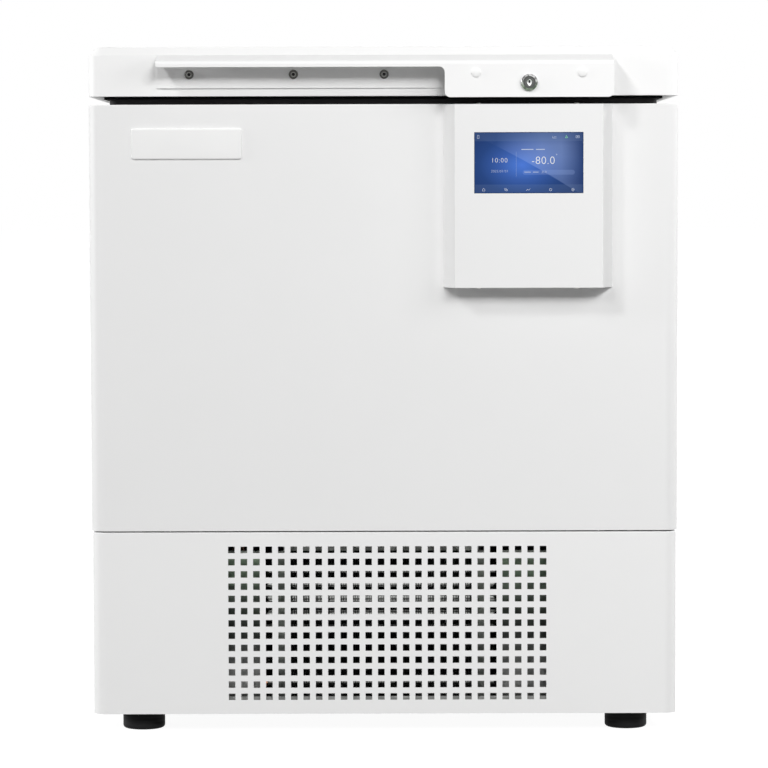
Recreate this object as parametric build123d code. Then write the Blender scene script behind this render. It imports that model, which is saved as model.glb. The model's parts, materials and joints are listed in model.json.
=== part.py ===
"""Chest-type ultra low temperature freezer with a hinged lid, built as separate solids in millimetres."""
from build123d import *
import math
import os

os.makedirs("parts", exist_ok=True)

# Overall size of the cabinet, from the floor up
cabinet_width = 842.0
cabinet_depth = 700.0
foot_height = 28.5
base_height = 264.5
body_height = 610.0
lid_gap = 12.0
lid_height = 70.0
lid_chamfer = 12.0
corner_radius = 18.0
edge_bevel = 1.5

# Sheet and small clearances
steel = 1.2
fit_gap = 0.3
running_gap = 0.05
overcut = 1.0

# Insulated body and the storage chamber
side_wall = 140.0
front_wall = 140.0
rear_wall = 140.0
floor_wall = 130.0
chamber_radius = 30.0
liner_sheet = 1.0
liner_flange = 25.0
shell_top_flange = 40.0
shell_bottom_flange = 60.0
rim_inset = 28.0
rim_height = 8.0
ring_radius = 16.0

# Cold coil, a flattened tube wound round the chamber
coil_thickness = 8.0
coil_width = 14.0
coil_turns = 4
coil_break = 90.0
coil_margin = 60.0
probe_radius = 3.0
probe_length = 60.0

# Lid
lid_flange = 58.0
lid_liner_wall = 2.0
lid_liner_lap = 10.0
plug_gap = 12.0
plug_taper = 8.0
plug_reach = 45.0
gasket_inset = 20.0
gasket_width = 32.0

# Handle, one bent sheet with a pull on the left and a lock plate on the right
handle_margin = 97.0
handle_shift = 2.1
handle_sheet = 2.5
handle_reach = 40.0
handle_drop = 9.4
handle_bend = 6.0
handle_back_height = 47.0
pull_lip = 8.8
pull_corner = 3.0
lock_plate_width = 239.2
lock_plate_height = 51.9
lock_plate_corner = 8.0
cap_radius = 6.8
cap_height = 2.4
cap_spread = 75.0
cap_rise = 34.4
standoff_radius = 5.0

# Cam lock
lock_inset = 119.8
lock_rise = 20.6
lock_head_radius = 11.8
lock_head_proud = 4.0
lock_head_bevel = 1.0
lock_dish_radius = 8.8
lock_dish_depth = 0.8
lock_barrel_radius = 9.4
lock_barrel_length = 20.0
lock_plug_radius = 6.5
lock_nut_radius = 14.0
lock_nut_thickness = 5.0
keyway_height = 9.0
keyway_width = 2.0
cam_thickness = 2.5
cam_width = 16.0
cam_bite = 14.0
cam_drive = 7.0
cam_slot_gap = 2.0

# Control box
box_inset = 215.2
box_width = 241.0
box_front_width = 209.6
box_depth = 35.0
box_height = 260.0
box_drop = 1.0
box_sheet = 1.5
display_width = 154.1
display_height = 85.9
display_drop = 83.0
display_module_rim = 6.0
display_module_depth = 7.0
bracket_sheet = 2.0
bracket_width = 180.0
bracket_tab = 24.0
bracket_tab_depth = 22.0
board_width = 140.0
board_height = 110.0
board_thickness = 1.6
board_standoff = 8.0
board_rail = 10.0
bracket_tab_spread = 70.0

# Base, panels and feet
panel_inset = 1.5
seam_gap = 2.0
panel_lip = 14.0
front_return = 34.0
panel_joint = 1.5
rear_wrap = 70.0
pan_sheet = 2.0
pan_flange = 25.0
post_size = 34.0
post_sheet = 3.0
post_inset = 22.0
foot_radius = 30.5
foot_chamfer = 5.0
foot_inset_x = 70.0
foot_inset_y = 66.0

# Square-hole grille
grille_hole = 9.5
grille_pitch_x = 17.9
grille_pitch_z = 17.7
grille_shift = 4.0
grille_side_margin = 185.0
grille_top_margin = 16.0
grille_bottom_margin = 15.5

# Rear vents
vent_length = 110.0
vent_height = 6.0
vent_pitch_x = 150.0
vent_pitch_z = 16.0
vent_columns = 3
vent_rows = 5
vent_top = 30.0

# Condenser and fan
condenser_shift = -5.0
condenser_width = 282.0
condenser_head_room = 31.75
condenser_depth = 44.0
condenser_set_back = 30.0
condenser_rise = 25.75
condenser_sheet = 1.5
condenser_front_lip = 9.5
condenser_side_lip = 11.0
baffle_gap = 34.0
fin_pitch = 3.4
fin_thickness = 0.4
pipe_radius = 4.8
pipe_passes = 10
pipe_stub = 24.0
pipe_sides = 8
shroud_depth = 46.0
shroud_rim = 1.5
motor_radius = 34.0
motor_length = 48.0
motor_bracket_sheet = 3.0
motor_arm_width = 16.0
motor_arm_lap = 16.0
fan_tip_gap = 8.0
fan_hub_radius = 28.0
fan_hub_depth = 24.0
fan_hub_gap = 4.0
blade_sunk = 6.0
fan_shaft_radius = 4.0
fan_shaft_grip = 22.0
fan_blades = 5
blade_thickness = 2.0
blade_chord = 52.0
blade_root_angle = 40.0
blade_tip_angle = 26.0

# Compressors and the parts piped to them
compressor_spread = 220.0
compressor_set_back = 470.0
compressor_radius = 78.0
compressor_head_room = 37.0
compressor_dome = 22.0
compressor_plate_x = 186.0
compressor_plate_y = 150.0
compressor_plate_sheet = 4.0
mount_size = 24.0
mount_height = 14.0
port_height = 112.0
exchanger_width = 130.0
exchanger_depth = 170.0
exchanger_forward = 65.0
exchanger_height = 190.0
drier_radius = 11.0
drier_length = 90.0
drier_set_back = 345.0
line_clear = 32.0
line_riser = 60.0

# Electrical parts
electric_clear = 67.0
electric_depth = 220.0
electric_height = 180.0
electric_side = 14.0
electric_set_back = 70.0
gland_inset = 170.0
gland_rise = 20.0
gland_radius = 9.8
gland_flange_radius = 14.0
gland_flange = 6.0
gland_nose = 14.0
gland_barrel = 14.0
gland_bore = 4.5

# Hinges
hinge_spread = 260.0
hinge_width = 72.0
hinge_leaf = 3.0
hinge_knuckle_radius = 8.0
hinge_pin_radius = 4.0
hinge_knuckle_gap = 0.5
hinge_base_height = 70.0
hinge_lid_height = 45.0

# Heights
base_z = foot_height
pan_z = base_z + pan_sheet
body_z = base_z + base_height
body_top_z = body_z + body_height
rim_z = body_top_z + rim_height
lid_z = body_top_z + lid_gap
lid_top_z = lid_z + lid_height
foam_z = body_z + 2 * steel
foam_top_z = body_top_z - max(steel, liner_sheet)
chamber_z = body_z + floor_wall
panel_top_z = body_z - seam_gap

# Depths: the front reach of the lock and the rear reach of the hinges are balanced about the origin
rear_reach = 2 * hinge_knuckle_radius
front_reach = handle_reach + lock_head_proud
total_depth = front_reach + cabinet_depth + rear_reach
front_y = front_reach - total_depth / 2
rear_y = front_y + cabinet_depth
middle_y = front_y + cabinet_depth / 2
chamber_width = cabinet_width - 2 * side_wall
chamber_depth = cabinet_depth - front_wall - rear_wall
chamber_y = front_y + front_wall + chamber_depth / 2

# Handle, lock and control box places
handle_length = cabinet_width - 2 * handle_margin
handle_left_x = handle_shift - handle_length / 2
handle_right_x = handle_shift + handle_length / 2
box_centre_x = cabinet_width / 2 - box_inset
handle_z = lid_top_z - lid_chamfer
lip_z = handle_z - handle_drop
lip_front_y = front_y - handle_reach
lip_back_y = lip_front_y + handle_sheet
pull_end_x = handle_right_x - lock_plate_width
lock_x = handle_right_x - lock_inset
lock_z = lip_z - lock_plate_height + lock_rise
cap_z = lip_z - lock_plate_height + cap_rise
barrel_end_y = lip_front_y + lock_barrel_length
box_top_z = body_top_z - box_drop
box_z = box_top_z - box_height
box_front_y = front_y - box_depth
display_z = box_top_z - display_drop
cam_length = lock_z - box_top_z + cam_bite

# Base places
rear_panel_width = cabinet_width - 2 * rear_wrap
gland_x = cabinet_width / 2 - gland_inset
condenser_x = condenser_shift
condenser_y = front_y + condenser_set_back
condenser_z = pan_z + condenser_rise
condenser_back_y = condenser_y + condenser_depth
condenser_height = body_z - condenser_head_room - condenser_z
pipe_y = condenser_y + condenser_depth / 2
pipe_pitch = condenser_height / pipe_passes
pipe_low_z = condenser_z + pipe_pitch / 2
pipe_high_z = pipe_low_z + (pipe_passes - 1) * pipe_pitch
fan_z = condenser_z + condenser_height / 2
shroud_opening = condenser_height / 2 - shroud_rim
motor_arm_reach = shroud_opening + motor_arm_lap
fan_radius = shroud_opening - fan_tip_gap
liquid_turn_x = condenser_x - condenser_width / 2 - pipe_stub - line_clear
shroud_back_y = condenser_back_y + shroud_depth
compressor_y = front_y + compressor_set_back
compressor_z = pan_z + mount_height + compressor_plate_sheet
compressor_height = body_z - compressor_head_room - compressor_z
port_z = compressor_z + port_height
hinge_y = rear_y + hinge_knuckle_radius
hinge_z = body_top_z + lid_gap / 2
gland_z = base_z + pan_flange + gland_rise


def block(x, y, z):
    """A box given by its low and high values on each axis."""
    centre = Pos((x[0] + x[1]) / 2, (y[0] + y[1]) / 2, (z[0] + z[1]) / 2)
    return centre * Box(x[1] - x[0], y[1] - y[0], z[1] - z[0])


def outline(width, depth, corner, cut=False):
    """A rectangle whose corners are rounded, or cut off straight where they are out of sight."""
    if cut:
        return chamfer(Rectangle(width, depth).vertices(), corner)
    return RectangleRounded(width, depth, corner)


def slab(width, depth, corner, z, y=None, cut=False):
    """An upright slab between two heights."""
    face = Pos(0, middle_y if y is None else y, z[0]) * outline(width, depth, corner, cut)
    return extrude(face, z[1] - z[0])


def inset_slab(inset, corner, z, cut=False):
    """A slab whose outline lies inside the cabinet's outline by one distance."""
    return slab(cabinet_width - 2 * inset, cabinet_depth - 2 * inset, corner, z, cut=cut)


def inset_block(inset, z):
    """A square-cornered slab inside the cabinet's outline."""
    half = cabinet_width / 2 - inset
    return block((-half, half), (front_y + inset, rear_y - inset), z)


def chamber_slab(grow, z):
    """A slab over the storage chamber, grown on all sides."""
    return slab(chamber_width + 2 * grow, chamber_depth + 2 * grow, chamber_radius + grow, z, chamber_y)


def chamber_wrap(grow, z):
    """A slab round the chamber whose straight-cut corners touch the chamber's round ones."""
    leg = (chamber_radius + grow) * (2 - math.sqrt(2))
    return slab(chamber_width + 2 * grow, chamber_depth + 2 * grow, leg, z, chamber_y, cut=True)


def tapered_slab(low, high, z, y, cut=False):
    """A slab that runs from one outline, given as width, depth and corner, to another."""
    first = Pos(0, y, z[0]) * outline(*low, cut)
    last = Pos(0, y, z[1]) * outline(*high, cut)
    return loft([first, last], ruled=True)


def rod(start, end, radius):
    """A round bar between two points."""
    along = Vector(*end) - Vector(*start)
    return extrude(Plane(origin=start, z_dir=along) * Circle(radius), along.length)


def hexagon_bar(start, end, radius):
    """A six-sided bar between two points."""
    along = Vector(*end) - Vector(*start)
    return extrude(Plane(origin=start, z_dir=along) * RegularPolygon(radius, 6), along.length)


def mitred_pipe(points, radius):
    """A many-sided pipe along straight runs that meet in mitres."""
    path = Polyline(*points)
    section = Plane(origin=path @ 0, z_dir=path % 0) * RegularPolygon(radius, pipe_sides)
    return sweep(section, path=path, transition=Transition.RIGHT)


def turned(profile, x, y, z):
    """A solid of revolution about an upright axis, from radius and height pairs."""
    outline = Plane.XZ * make_face(Polyline(*profile, close=True))
    return Pos(x, y, z) * revolve(outline, axis=Axis.Z)


def profile_bar(points, x):
    """A bar of constant section along the width, from depth and height pairs."""
    face = make_face(Polyline(*[(x[0], point[0], point[1]) for point in points], close=True))
    return extrude(face, amount=x[1] - x[0], dir=(1, 0, 0))


def corners(dx, dy):
    """The four places at plus and minus two distances."""
    return [(sx * dx, sy * dy) for sx in (-1, 1) for sy in (-1, 1)]


# Insulated body

def cabinet_shell():
    """One wrapped sheet with flanges turned in at its top and bottom."""
    outer = inset_slab(0, corner_radius, (body_z, body_top_z))
    outer = chamfer(outer.faces().sort_by(Axis.Z)[-1].edges(), edge_bevel)
    inner = inset_slab(steel, corner_radius - steel, (body_z + steel, body_top_z - steel))
    mouth = inset_block(shell_top_flange, (body_top_z - 2 * steel, body_top_z + steel))
    under = inset_block(shell_bottom_flange, (body_z - steel, body_z + 2 * steel))
    return outer - inner - mouth - under


def body_floor_plate():
    """The sheet that closes the body's underside above the machine bay."""
    return inset_slab(steel + fit_gap, corner_radius, (body_z + steel, foam_z), cut=True)


def insulation():
    """Foam that fills the body and leaves room for the tank and its coil."""
    foam = inset_slab(steel + fit_gap, corner_radius, (foam_z, foam_top_z), cut=True)
    grow = liner_sheet + coil_thickness + 2 * fit_gap
    return foam - chamber_wrap(grow, (chamber_z - liner_sheet, body_top_z))


def inner_liner():
    """The stainless tank with a flange that rests on the foam."""
    tank = chamber_slab(liner_sheet, (chamber_z - liner_sheet, body_top_z))
    half_x = chamber_width / 2 + liner_sheet + liner_flange
    half_y = chamber_depth / 2 + liner_sheet + liner_flange
    flange_y = (chamber_y - half_y, chamber_y + half_y)
    flange = block((-half_x, half_x), flange_y, (body_top_z - liner_sheet, body_top_z))
    return tank + flange - chamber_slab(0, (chamber_z, body_top_z + steel))


def evaporator_coil():
    """Level turns round the tank, each joined to the next by a sloping run at the back."""
    near = liner_sheet + fit_gap
    far = near + coil_thickness
    low = chamber_z + coil_margin
    rise = (body_top_z - coil_margin - low - coil_width) / (coil_turns - 1)
    back = (chamber_y + chamber_depth / 2 + near, chamber_y + chamber_depth / 2 + far)
    half = coil_break / 2
    coil = None
    for turn in range(coil_turns):
        z = low + turn * rise
        ring = chamber_wrap(far, (z, z + coil_width)) - chamber_wrap(near, (z, z + coil_width))
        ring -= block((-half, half), (back[0] - overcut, back[1] + overcut), (z, z + coil_width))
        coil = ring if coil is None else coil + ring
        if turn < coil_turns - 1:
            ramp = [(-half, z), (half, z + rise), (half, z + rise + coil_width), (-half, z + coil_width)]
            face = make_face(Polyline(*[(x, back[0], height) for x, height in ramp], close=True))
            coil += extrude(face, amount=coil_thickness, dir=(0, 1, 0))
    return coil


def temperature_probe():
    """A sensor tube that lies against the front of the tank between two turns of the coil."""
    y = chamber_y - chamber_depth / 2 - liner_sheet - fit_gap - probe_radius
    z = chamber_z + coil_margin + coil_width + fit_gap
    return mitred_pipe([(0, y, z), (0, y, z + probe_length)], probe_radius)


def breaker_frame():
    """The black ring that bridges the shell and the tank and carries the seal."""
    ring = inset_slab(rim_inset, ring_radius, (body_top_z, rim_z))
    return ring - chamber_slab(0, (body_top_z - steel, rim_z + steel))


# Lid

def lid_slab(inset, bottom, chamfer_leg, cut=False):
    """The lid's outline with a sloping edge round its top."""
    width = cabinet_width - 2 * inset
    depth = cabinet_depth - 2 * inset
    corner = corner_radius - inset
    top = lid_top_z - inset
    knee = top - chamfer_leg
    upper = (width - 2 * chamfer_leg, depth - 2 * chamfer_leg, max(corner - chamfer_leg, 1))
    slope = tapered_slab((width, depth, corner), upper, (knee, top), middle_y, cut)
    return slab(width, depth, corner, (bottom, knee), cut=cut) + slope


def inner_chamfer(inset):
    """The sloping edge's leg on a surface set inside the lid's outside."""
    return lid_chamfer - inset * (2 - math.sqrt(2))


def lid_shell():
    """The pressed lid with a flange turned in under it."""
    shell = lid_slab(0, lid_z, lid_chamfer) - lid_slab(steel, lid_z + steel, inner_chamfer(steel))
    return shell - inset_block(lid_flange, (lid_z - steel, lid_z + 2 * steel))


def plug_outline(grow):
    """The plug's upper and lower outlines, grown on all sides."""
    width = chamber_width - 2 * plug_gap + 2 * grow
    depth = chamber_depth - 2 * plug_gap + 2 * grow
    radius = chamber_radius + grow
    upper = (width, depth, radius)
    return (width - 2 * plug_taper, depth - 2 * plug_taper, radius), upper


def lid_liner():
    """The lid's inner panel with a plug that drops into the tank's mouth."""
    rim_low = lid_z + steel
    rim_high = rim_low + lid_liner_wall
    foot = body_top_z - plug_reach
    rim = inset_block(lid_flange - lid_liner_lap, (rim_low, rim_high))
    low, high = plug_outline(0)
    tub = tapered_slab(low, high, (foot, rim_low), chamber_y)
    low, high = plug_outline(-lid_liner_wall)
    hollow = tapered_slab(low, high, (foot + lid_liner_wall, rim_high), chamber_y)
    return rim + tub - hollow


def lid_foam():
    """Foam that fills the lid and its plug."""
    inset = steel + fit_gap
    rest = lid_z + steel + lid_liner_wall
    low, high = plug_outline(-lid_liner_wall - fit_gap)
    foot = body_top_z - plug_reach + lid_liner_wall
    core = tapered_slab(low, high, (foot, rest), chamber_y, cut=True)
    return lid_slab(inset, rest, inner_chamfer(inset), cut=True) + core


def lid_gasket():
    """The soft seal under the lid, just clear of the frame when the lid is shut."""
    z = (rim_z + fit_gap, lid_z)
    return inset_slab(gasket_inset, ring_radius, z) - inset_slab(gasket_inset + gasket_width, ring_radius, z)


# Handle and lock

def handle_bracket():
    """A back flange, a sloping top and a front lip that widens into the lock plate."""
    slope = handle_drop / handle_reach
    skin = handle_sheet * math.sqrt(1 + slope * slope)
    back_z = handle_z - handle_back_height
    plate_z = lip_z - lock_plate_height
    inner_front_z = handle_z - slope * (handle_reach - handle_sheet) - skin
    inner_back_z = handle_z - slope * handle_sheet - skin
    section = [
        (front_y, back_z),
        (front_y, handle_z),
        (lip_front_y, lip_z),
        (lip_front_y, plate_z),
        (lip_back_y, plate_z),
        (lip_back_y, inner_front_z),
        (front_y - handle_sheet, inner_back_z),
        (front_y - handle_sheet, back_z),
    ]
    bar = profile_bar(section, (handle_left_x, handle_right_x))
    bend = bar.edges().filter_by(Axis.X).sort_by_distance((0, lip_front_y, lip_z))[0]
    bar = fillet(bend, handle_bend)
    pull_z = lip_z - pull_lip
    clear_y = (lip_front_y - overcut, lip_back_y + overcut)
    bar -= block((handle_left_x - overcut, pull_end_x), clear_y, (plate_z - overcut, pull_z))
    places = [(pull_end_x, pull_z), (pull_end_x, plate_z), (handle_right_x, plate_z), (handle_left_x, pull_z)]
    radii = [lock_plate_corner, lock_plate_corner, lock_plate_corner, pull_corner]
    for place, radius in zip(places, radii):
        middle = (place[0], (lip_front_y + lip_back_y) / 2, place[1])
        corner = bar.edges().filter_by(Axis.Y).sort_by_distance(middle)[0]
        bar = fillet(corner, radius)
    through = (lip_front_y - overcut, lip_back_y + overcut)
    return bar - rod((lock_x, through[0], lock_z), (lock_x, through[1], lock_z), lock_barrel_radius + fit_gap)


def handle_caps():
    """Caps over the two bolts of the lock plate."""
    caps = []
    for side in (-1, 1):
        x = lock_x + side * cap_spread
        cap = rod((x, lip_front_y - cap_height, cap_z), (x, lip_front_y, cap_z), cap_radius)
        caps.append(chamfer(cap.faces().sort_by(Axis.Y)[0].edges(), cap_height / 2))
    return caps


def lock_standoffs():
    """Bars that brace the lock plate against the handle's back flange."""
    bars = []
    for side in (-1, 1):
        x = lock_x + side * cap_spread
        bars.append(hexagon_bar((x, lip_back_y, cap_z), (x, front_y - handle_sheet, cap_z), standoff_radius))
    return bars


def lock_barrel():
    """The lock's fixed barrel with its round face."""
    front = lip_front_y - lock_head_proud
    face = rod((lock_x, front, lock_z), (lock_x, lip_front_y, lock_z), lock_head_radius)
    face = chamfer(face.faces().sort_by(Axis.Y)[0].edges(), lock_head_bevel)
    face -= rod((lock_x, front, lock_z), (lock_x, front + lock_dish_depth, lock_z), lock_dish_radius)
    tube = rod((lock_x, lip_front_y, lock_z), (lock_x, barrel_end_y, lock_z), lock_barrel_radius)
    start = (lock_x, front - overcut, lock_z)
    bore = rod(start, (lock_x, barrel_end_y + overcut, lock_z), lock_plug_radius + running_gap)
    return face + tube - bore


def lock_nut():
    """The nut that clamps the barrel to the lock plate."""
    start = (lock_x, lip_back_y, lock_z)
    end = (lock_x, lip_back_y + lock_nut_thickness, lock_z)
    return hexagon_bar(start, end, lock_nut_radius) - rod(start, end, lock_barrel_radius + fit_gap)


def lock_plug():
    """The turning plug with its keyway and a square end for the cam."""
    front = lip_front_y - lock_head_proud + fit_gap
    tail = barrel_end_y + fit_gap
    plug = rod((lock_x, front, lock_z), (lock_x, tail, lock_z), lock_plug_radius)
    half = cam_drive / 2
    x = (lock_x - half, lock_x + half)
    plug += block(x, (tail, tail + 2 * cam_thickness), (lock_z - half, lock_z + half))
    slot_x = (lock_x - keyway_width / 2, lock_x + keyway_width / 2)
    slot_z = (lock_z - keyway_height / 2, lock_z + keyway_height / 2)
    return plug - block(slot_x, (front - overcut, front + keyway_height), slot_z)


def lock_cam():
    """The tongue on the plug's end. It points sideways when the lid is free."""
    y = barrel_end_y + fit_gap
    half = cam_width / 2
    end = cam_length - half
    tongue = block((lock_x, lock_x + end), (y, y + cam_thickness), (lock_z - half, lock_z + half))
    for x in (lock_x, lock_x + end):
        tongue += rod((x, y, lock_z), (x, y + cam_thickness, lock_z), half)
    hole = cam_drive / 2 + running_gap
    span = (lock_z - hole, lock_z + hole)
    return tongue - block((lock_x - hole, lock_x + hole), (y - overcut, y + cam_thickness + overcut), span)


# Control box

def box_half_width(y):
    """Half of the control box's width at one depth."""
    share = (front_y - y) / box_depth
    return (box_width + (box_front_width - box_width) * share) / 2


def box_prism(side_inset, front_inset, z):
    """The control box's slanted outline between two heights."""
    front = box_front_y + front_inset
    outline = [(-box_half_width(front_y) + side_inset, front_y), (-box_half_width(front) + side_inset, front)]
    outline += [(-x, y) for x, y in reversed(outline)]
    face = make_face(Polyline(*[(box_centre_x + x, y, z[0]) for x, y in outline], close=True))
    return extrude(face, amount=z[1] - z[0], dir=(0, 0, 1))


def bracket_tab_places():
    """The bracket's tabs: a place across, the inside of the cover there and the way out."""
    xs = (box_centre_x - bracket_tab_spread, box_centre_x + bracket_tab_spread)
    return [(x, z, out) for x in xs for z, out in ((box_top_z - box_sheet, 1), (box_z + box_sheet, -1))]


def control_cover():
    """The folded cover with a window for the screen and a slot for the lock's cam."""
    slant = (box_width - box_front_width) / 2 / box_depth
    side = box_sheet * math.sqrt(1 + slant * slant)
    cover = box_prism(0, 0, (box_z, box_top_z))
    cover -= box_prism(side, box_sheet, (box_z + box_sheet, box_top_z - box_sheet))
    half_w = display_width / 2 + fit_gap
    half_h = display_height / 2 + fit_gap
    window_x = (box_centre_x - half_w, box_centre_x + half_w)
    window_z = (display_z - half_h, display_z + half_h)
    cover -= block(window_x, (box_front_y - overcut, box_front_y + box_sheet + overcut), window_z)
    drop = lock_z - box_top_z
    reach = math.sqrt(cam_length ** 2 - drop ** 2) + cam_width / 2
    cam_y = barrel_end_y + fit_gap
    slot_x = (lock_x - cam_width / 2 - cam_slot_gap, lock_x + reach + cam_slot_gap)
    slot_y = (cam_y - cam_slot_gap, cam_y + cam_thickness + cam_slot_gap)
    return cover - block(slot_x, slot_y, (box_top_z - box_sheet - overcut, box_top_z + overcut))


def control_bracket():
    """The plate on the cabinet that the cover slides over, with tabs for it and rails for the board."""
    half = bracket_width / 2
    x = (box_centre_x - half, box_centre_x + half)
    bracket = block(x, (front_y - bracket_sheet, front_y), (box_z + box_sheet, box_top_z - box_sheet))
    for place_x, z, out in bracket_tab_places():
        tab_x = (place_x - bracket_tab / 2, place_x + bracket_tab / 2)
        tab_y = (front_y - bracket_tab_depth - bracket_sheet, front_y)
        bracket += block(tab_x, tab_y, sorted((z, z - out * bracket_sheet)))
    rail_y = (front_y - bracket_sheet - board_standoff, front_y - bracket_sheet)
    middle_z = (box_z + box_top_z) / 2
    rail_z = (middle_z - board_height / 2, middle_z + board_height / 2)
    for side in (-1, 1):
        outer = box_centre_x + side * board_width / 2
        bracket += block(sorted((outer, outer - side * board_rail)), rail_y, rail_z)
    return bracket


def control_board():
    """The controller's circuit board."""
    half = board_width / 2
    back = front_y - bracket_sheet - board_standoff
    middle_z = (box_z + box_top_z) / 2
    z = (middle_z - board_height / 2, middle_z + board_height / 2)
    return block((box_centre_x - half, box_centre_x + half), (back - board_thickness, back), z)


def display_glass():
    """The touch screen's face, flush with the cover."""
    x = (box_centre_x - display_width / 2, box_centre_x + display_width / 2)
    z = (display_z - display_height / 2, display_z + display_height / 2)
    return block(x, (box_front_y, box_front_y + box_sheet), z)


def display_module():
    """The panel behind the glass, held against the inside of the cover."""
    half_w = display_width / 2 + display_module_rim
    half_h = display_height / 2 + display_module_rim
    back = box_front_y + box_sheet
    x = (box_centre_x - half_w, box_centre_x + half_w)
    return block(x, (back, back + display_module_depth), (display_z - half_h, display_z + half_h))


# Base

def skirt(z):
    """The ring of sheet round the machine bay, from which its panels are cut."""
    inner = panel_inset + steel
    outer = inset_slab(panel_inset, corner_radius - panel_inset, z)
    outer = chamfer(outer.faces().sort_by(Axis.Z)[-1].edges(), edge_bevel)
    hollow = inset_slab(inner, corner_radius - inner, (z[0], z[1] - steel))
    return outer - hollow - inset_slab(panel_lip, ring_radius, (z[1] - steel, z[1]))


def panel(x, y):
    """The part of the skirt inside a range across and a range in depth."""
    return skirt((base_z, panel_top_z)) & block(x, y, (base_z - overcut, panel_top_z + overcut))


def spread_places(length, pitch):
    """Evenly pitched places about zero that fit in a length."""
    count = int(length / pitch + 1e-6) + 1
    return [(step - (count - 1) / 2) * pitch for step in range(count)]


def front_grille_panel():
    """The front panel with its field of square holes."""
    half = cabinet_width / 2
    front = panel((-half, half), (front_y - overcut, front_y + front_return))
    low = base_z + grille_bottom_margin + grille_hole / 2
    high = panel_top_z - grille_top_margin - grille_hole / 2
    across = spread_places(cabinet_width - 2 * grille_side_margin - grille_hole, grille_pitch_x)
    upward = spread_places(high - low, grille_pitch_z)
    places = [(grille_shift + x, (low + high) / 2 + z) for x in across for z in upward]
    y = front_y + panel_inset + steel / 2
    return front - [Pos(x, y, z) * Box(grille_hole, 2 * steel, grille_hole) for x, z in places]


def side_panel(side):
    """A side panel that wraps round the rear corner."""
    edge = rear_panel_width / 2 + panel_joint
    x = sorted((side * edge, side * cabinet_width / 2))
    return panel(x, (front_y + front_return + panel_joint, rear_y))


def rear_vent_panel():
    """The rear panel with rows of slots and an opening for the gland."""
    half = rear_panel_width / 2
    back = panel((-half, half), (rear_y - 2 * panel_lip, rear_y))
    through = (rear_y - panel_inset - steel - overcut, rear_y)
    for column in range(vent_columns):
        for row in range(vent_rows):
            x = (column - (vent_columns - 1) / 2) * vent_pitch_x
            z = panel_top_z - vent_top - row * vent_pitch_z
            back -= block((x - vent_length / 2, x + vent_length / 2), through, (z - vent_height, z))
    return back - rod((gland_x, through[0], gland_z), (gland_x, through[1], gland_z), gland_radius + fit_gap)


def base_pan():
    """The floor tray of the machine bay."""
    inset = panel_inset + steel + fit_gap
    tray = inset_slab(inset, corner_radius - inset, (base_z, base_z + pan_flange))
    inner_z = (pan_z, base_z + pan_flange + overcut)
    return tray - inset_slab(inset + pan_sheet, corner_radius - inset - pan_sheet, inner_z)


def corner_posts():
    """Angle posts that carry the insulated body on the base pan."""
    posts = []
    inset = panel_inset + steel + fit_gap + pan_sheet + post_inset
    for sx in (-1, 1):
        for sy in (-1, 1):
            x = sx * (cabinet_width / 2 - inset)
            y = middle_y + sy * (cabinet_depth / 2 - inset)
            z = (pan_z, body_z)
            flat = block(sorted((x, x - sx * post_size)), sorted((y, y - sy * post_sheet)), z)
            posts.append(flat + block(sorted((x, x - sx * post_sheet)), sorted((y, y - sy * post_size)), z))
    return posts


def foot_places():
    """The four places where the feet stand."""
    dx = cabinet_width / 2 - foot_inset_x
    dy = cabinet_depth / 2 - foot_inset_y
    return [(x, middle_y + y) for x, y in corners(dx, dy)]


def rubber_feet():
    """Round feet with a bevelled tread."""
    low = foot_radius - foot_chamfer
    profile = [(0, 0), (low, 0), (foot_radius, foot_chamfer), (foot_radius, foot_height), (0, foot_height)]
    return [turned(profile, x, y, 0) for x, y in foot_places()]


# Refrigeration

def condenser_frame():
    """Two slotted end plates with feet and front lips, joined by a top plate whose front edge stands up."""
    half = condenser_width / 2
    top = condenser_z + condenser_height
    y = (condenser_y, condenser_back_y)
    frame = block((condenser_x - half, condenser_x + half), y, (top, top + condenser_sheet))
    lip_y = (condenser_y - condenser_sheet, condenser_y)
    frame += block((condenser_x - half, condenser_x + half), lip_y, (top, top + condenser_front_lip))
    for side in (-1, 1):
        outer = condenser_x + side * half
        plate = sorted((outer, outer - side * condenser_sheet))
        frame += block(plate, (lip_y[0], condenser_back_y), (pan_z, top))
        frame += block(sorted((outer, outer + side * condenser_side_lip)), lip_y, (pan_z, top))
        foot_x = sorted((outer, outer + side * condenser_depth / 2))
        frame += block(foot_x, y, (pan_z, pan_z + condenser_sheet))
    clear = pipe_radius + fit_gap
    slot_z = (pipe_low_z - clear, pipe_high_z + clear)
    slot_x = (condenser_x - half - overcut, condenser_x + half + overcut)
    return frame - block(slot_x, (pipe_y - clear, pipe_y + clear), slot_z)


def condenser_fins():
    """Thin upright plates along the condenser's pipe."""
    room = condenser_width - 2 * condenser_sheet - 2 * fin_pitch
    fins = []
    for x in spread_places(room, fin_pitch):
        edge = condenser_x + x - fin_thickness / 2
        z = (condenser_z, condenser_z + condenser_height)
        fins.append(block((edge, edge + fin_thickness), (condenser_y, condenser_back_y), z))
    return fins


def condenser_pipe():
    """One pipe that runs to and fro through the fins and turns outside the end plates."""
    half = condenser_width / 2
    points = []
    for step in range(pipe_passes):
        z = pipe_high_z - step * pipe_pitch
        way = 1 if step % 2 == 0 else -1
        points.append((condenser_x - way * (half + pipe_stub), pipe_y, z))
        points.append((condenser_x + way * (half + pipe_stub), pipe_y, z))
    return mitred_pipe(points, pipe_radius)


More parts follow.
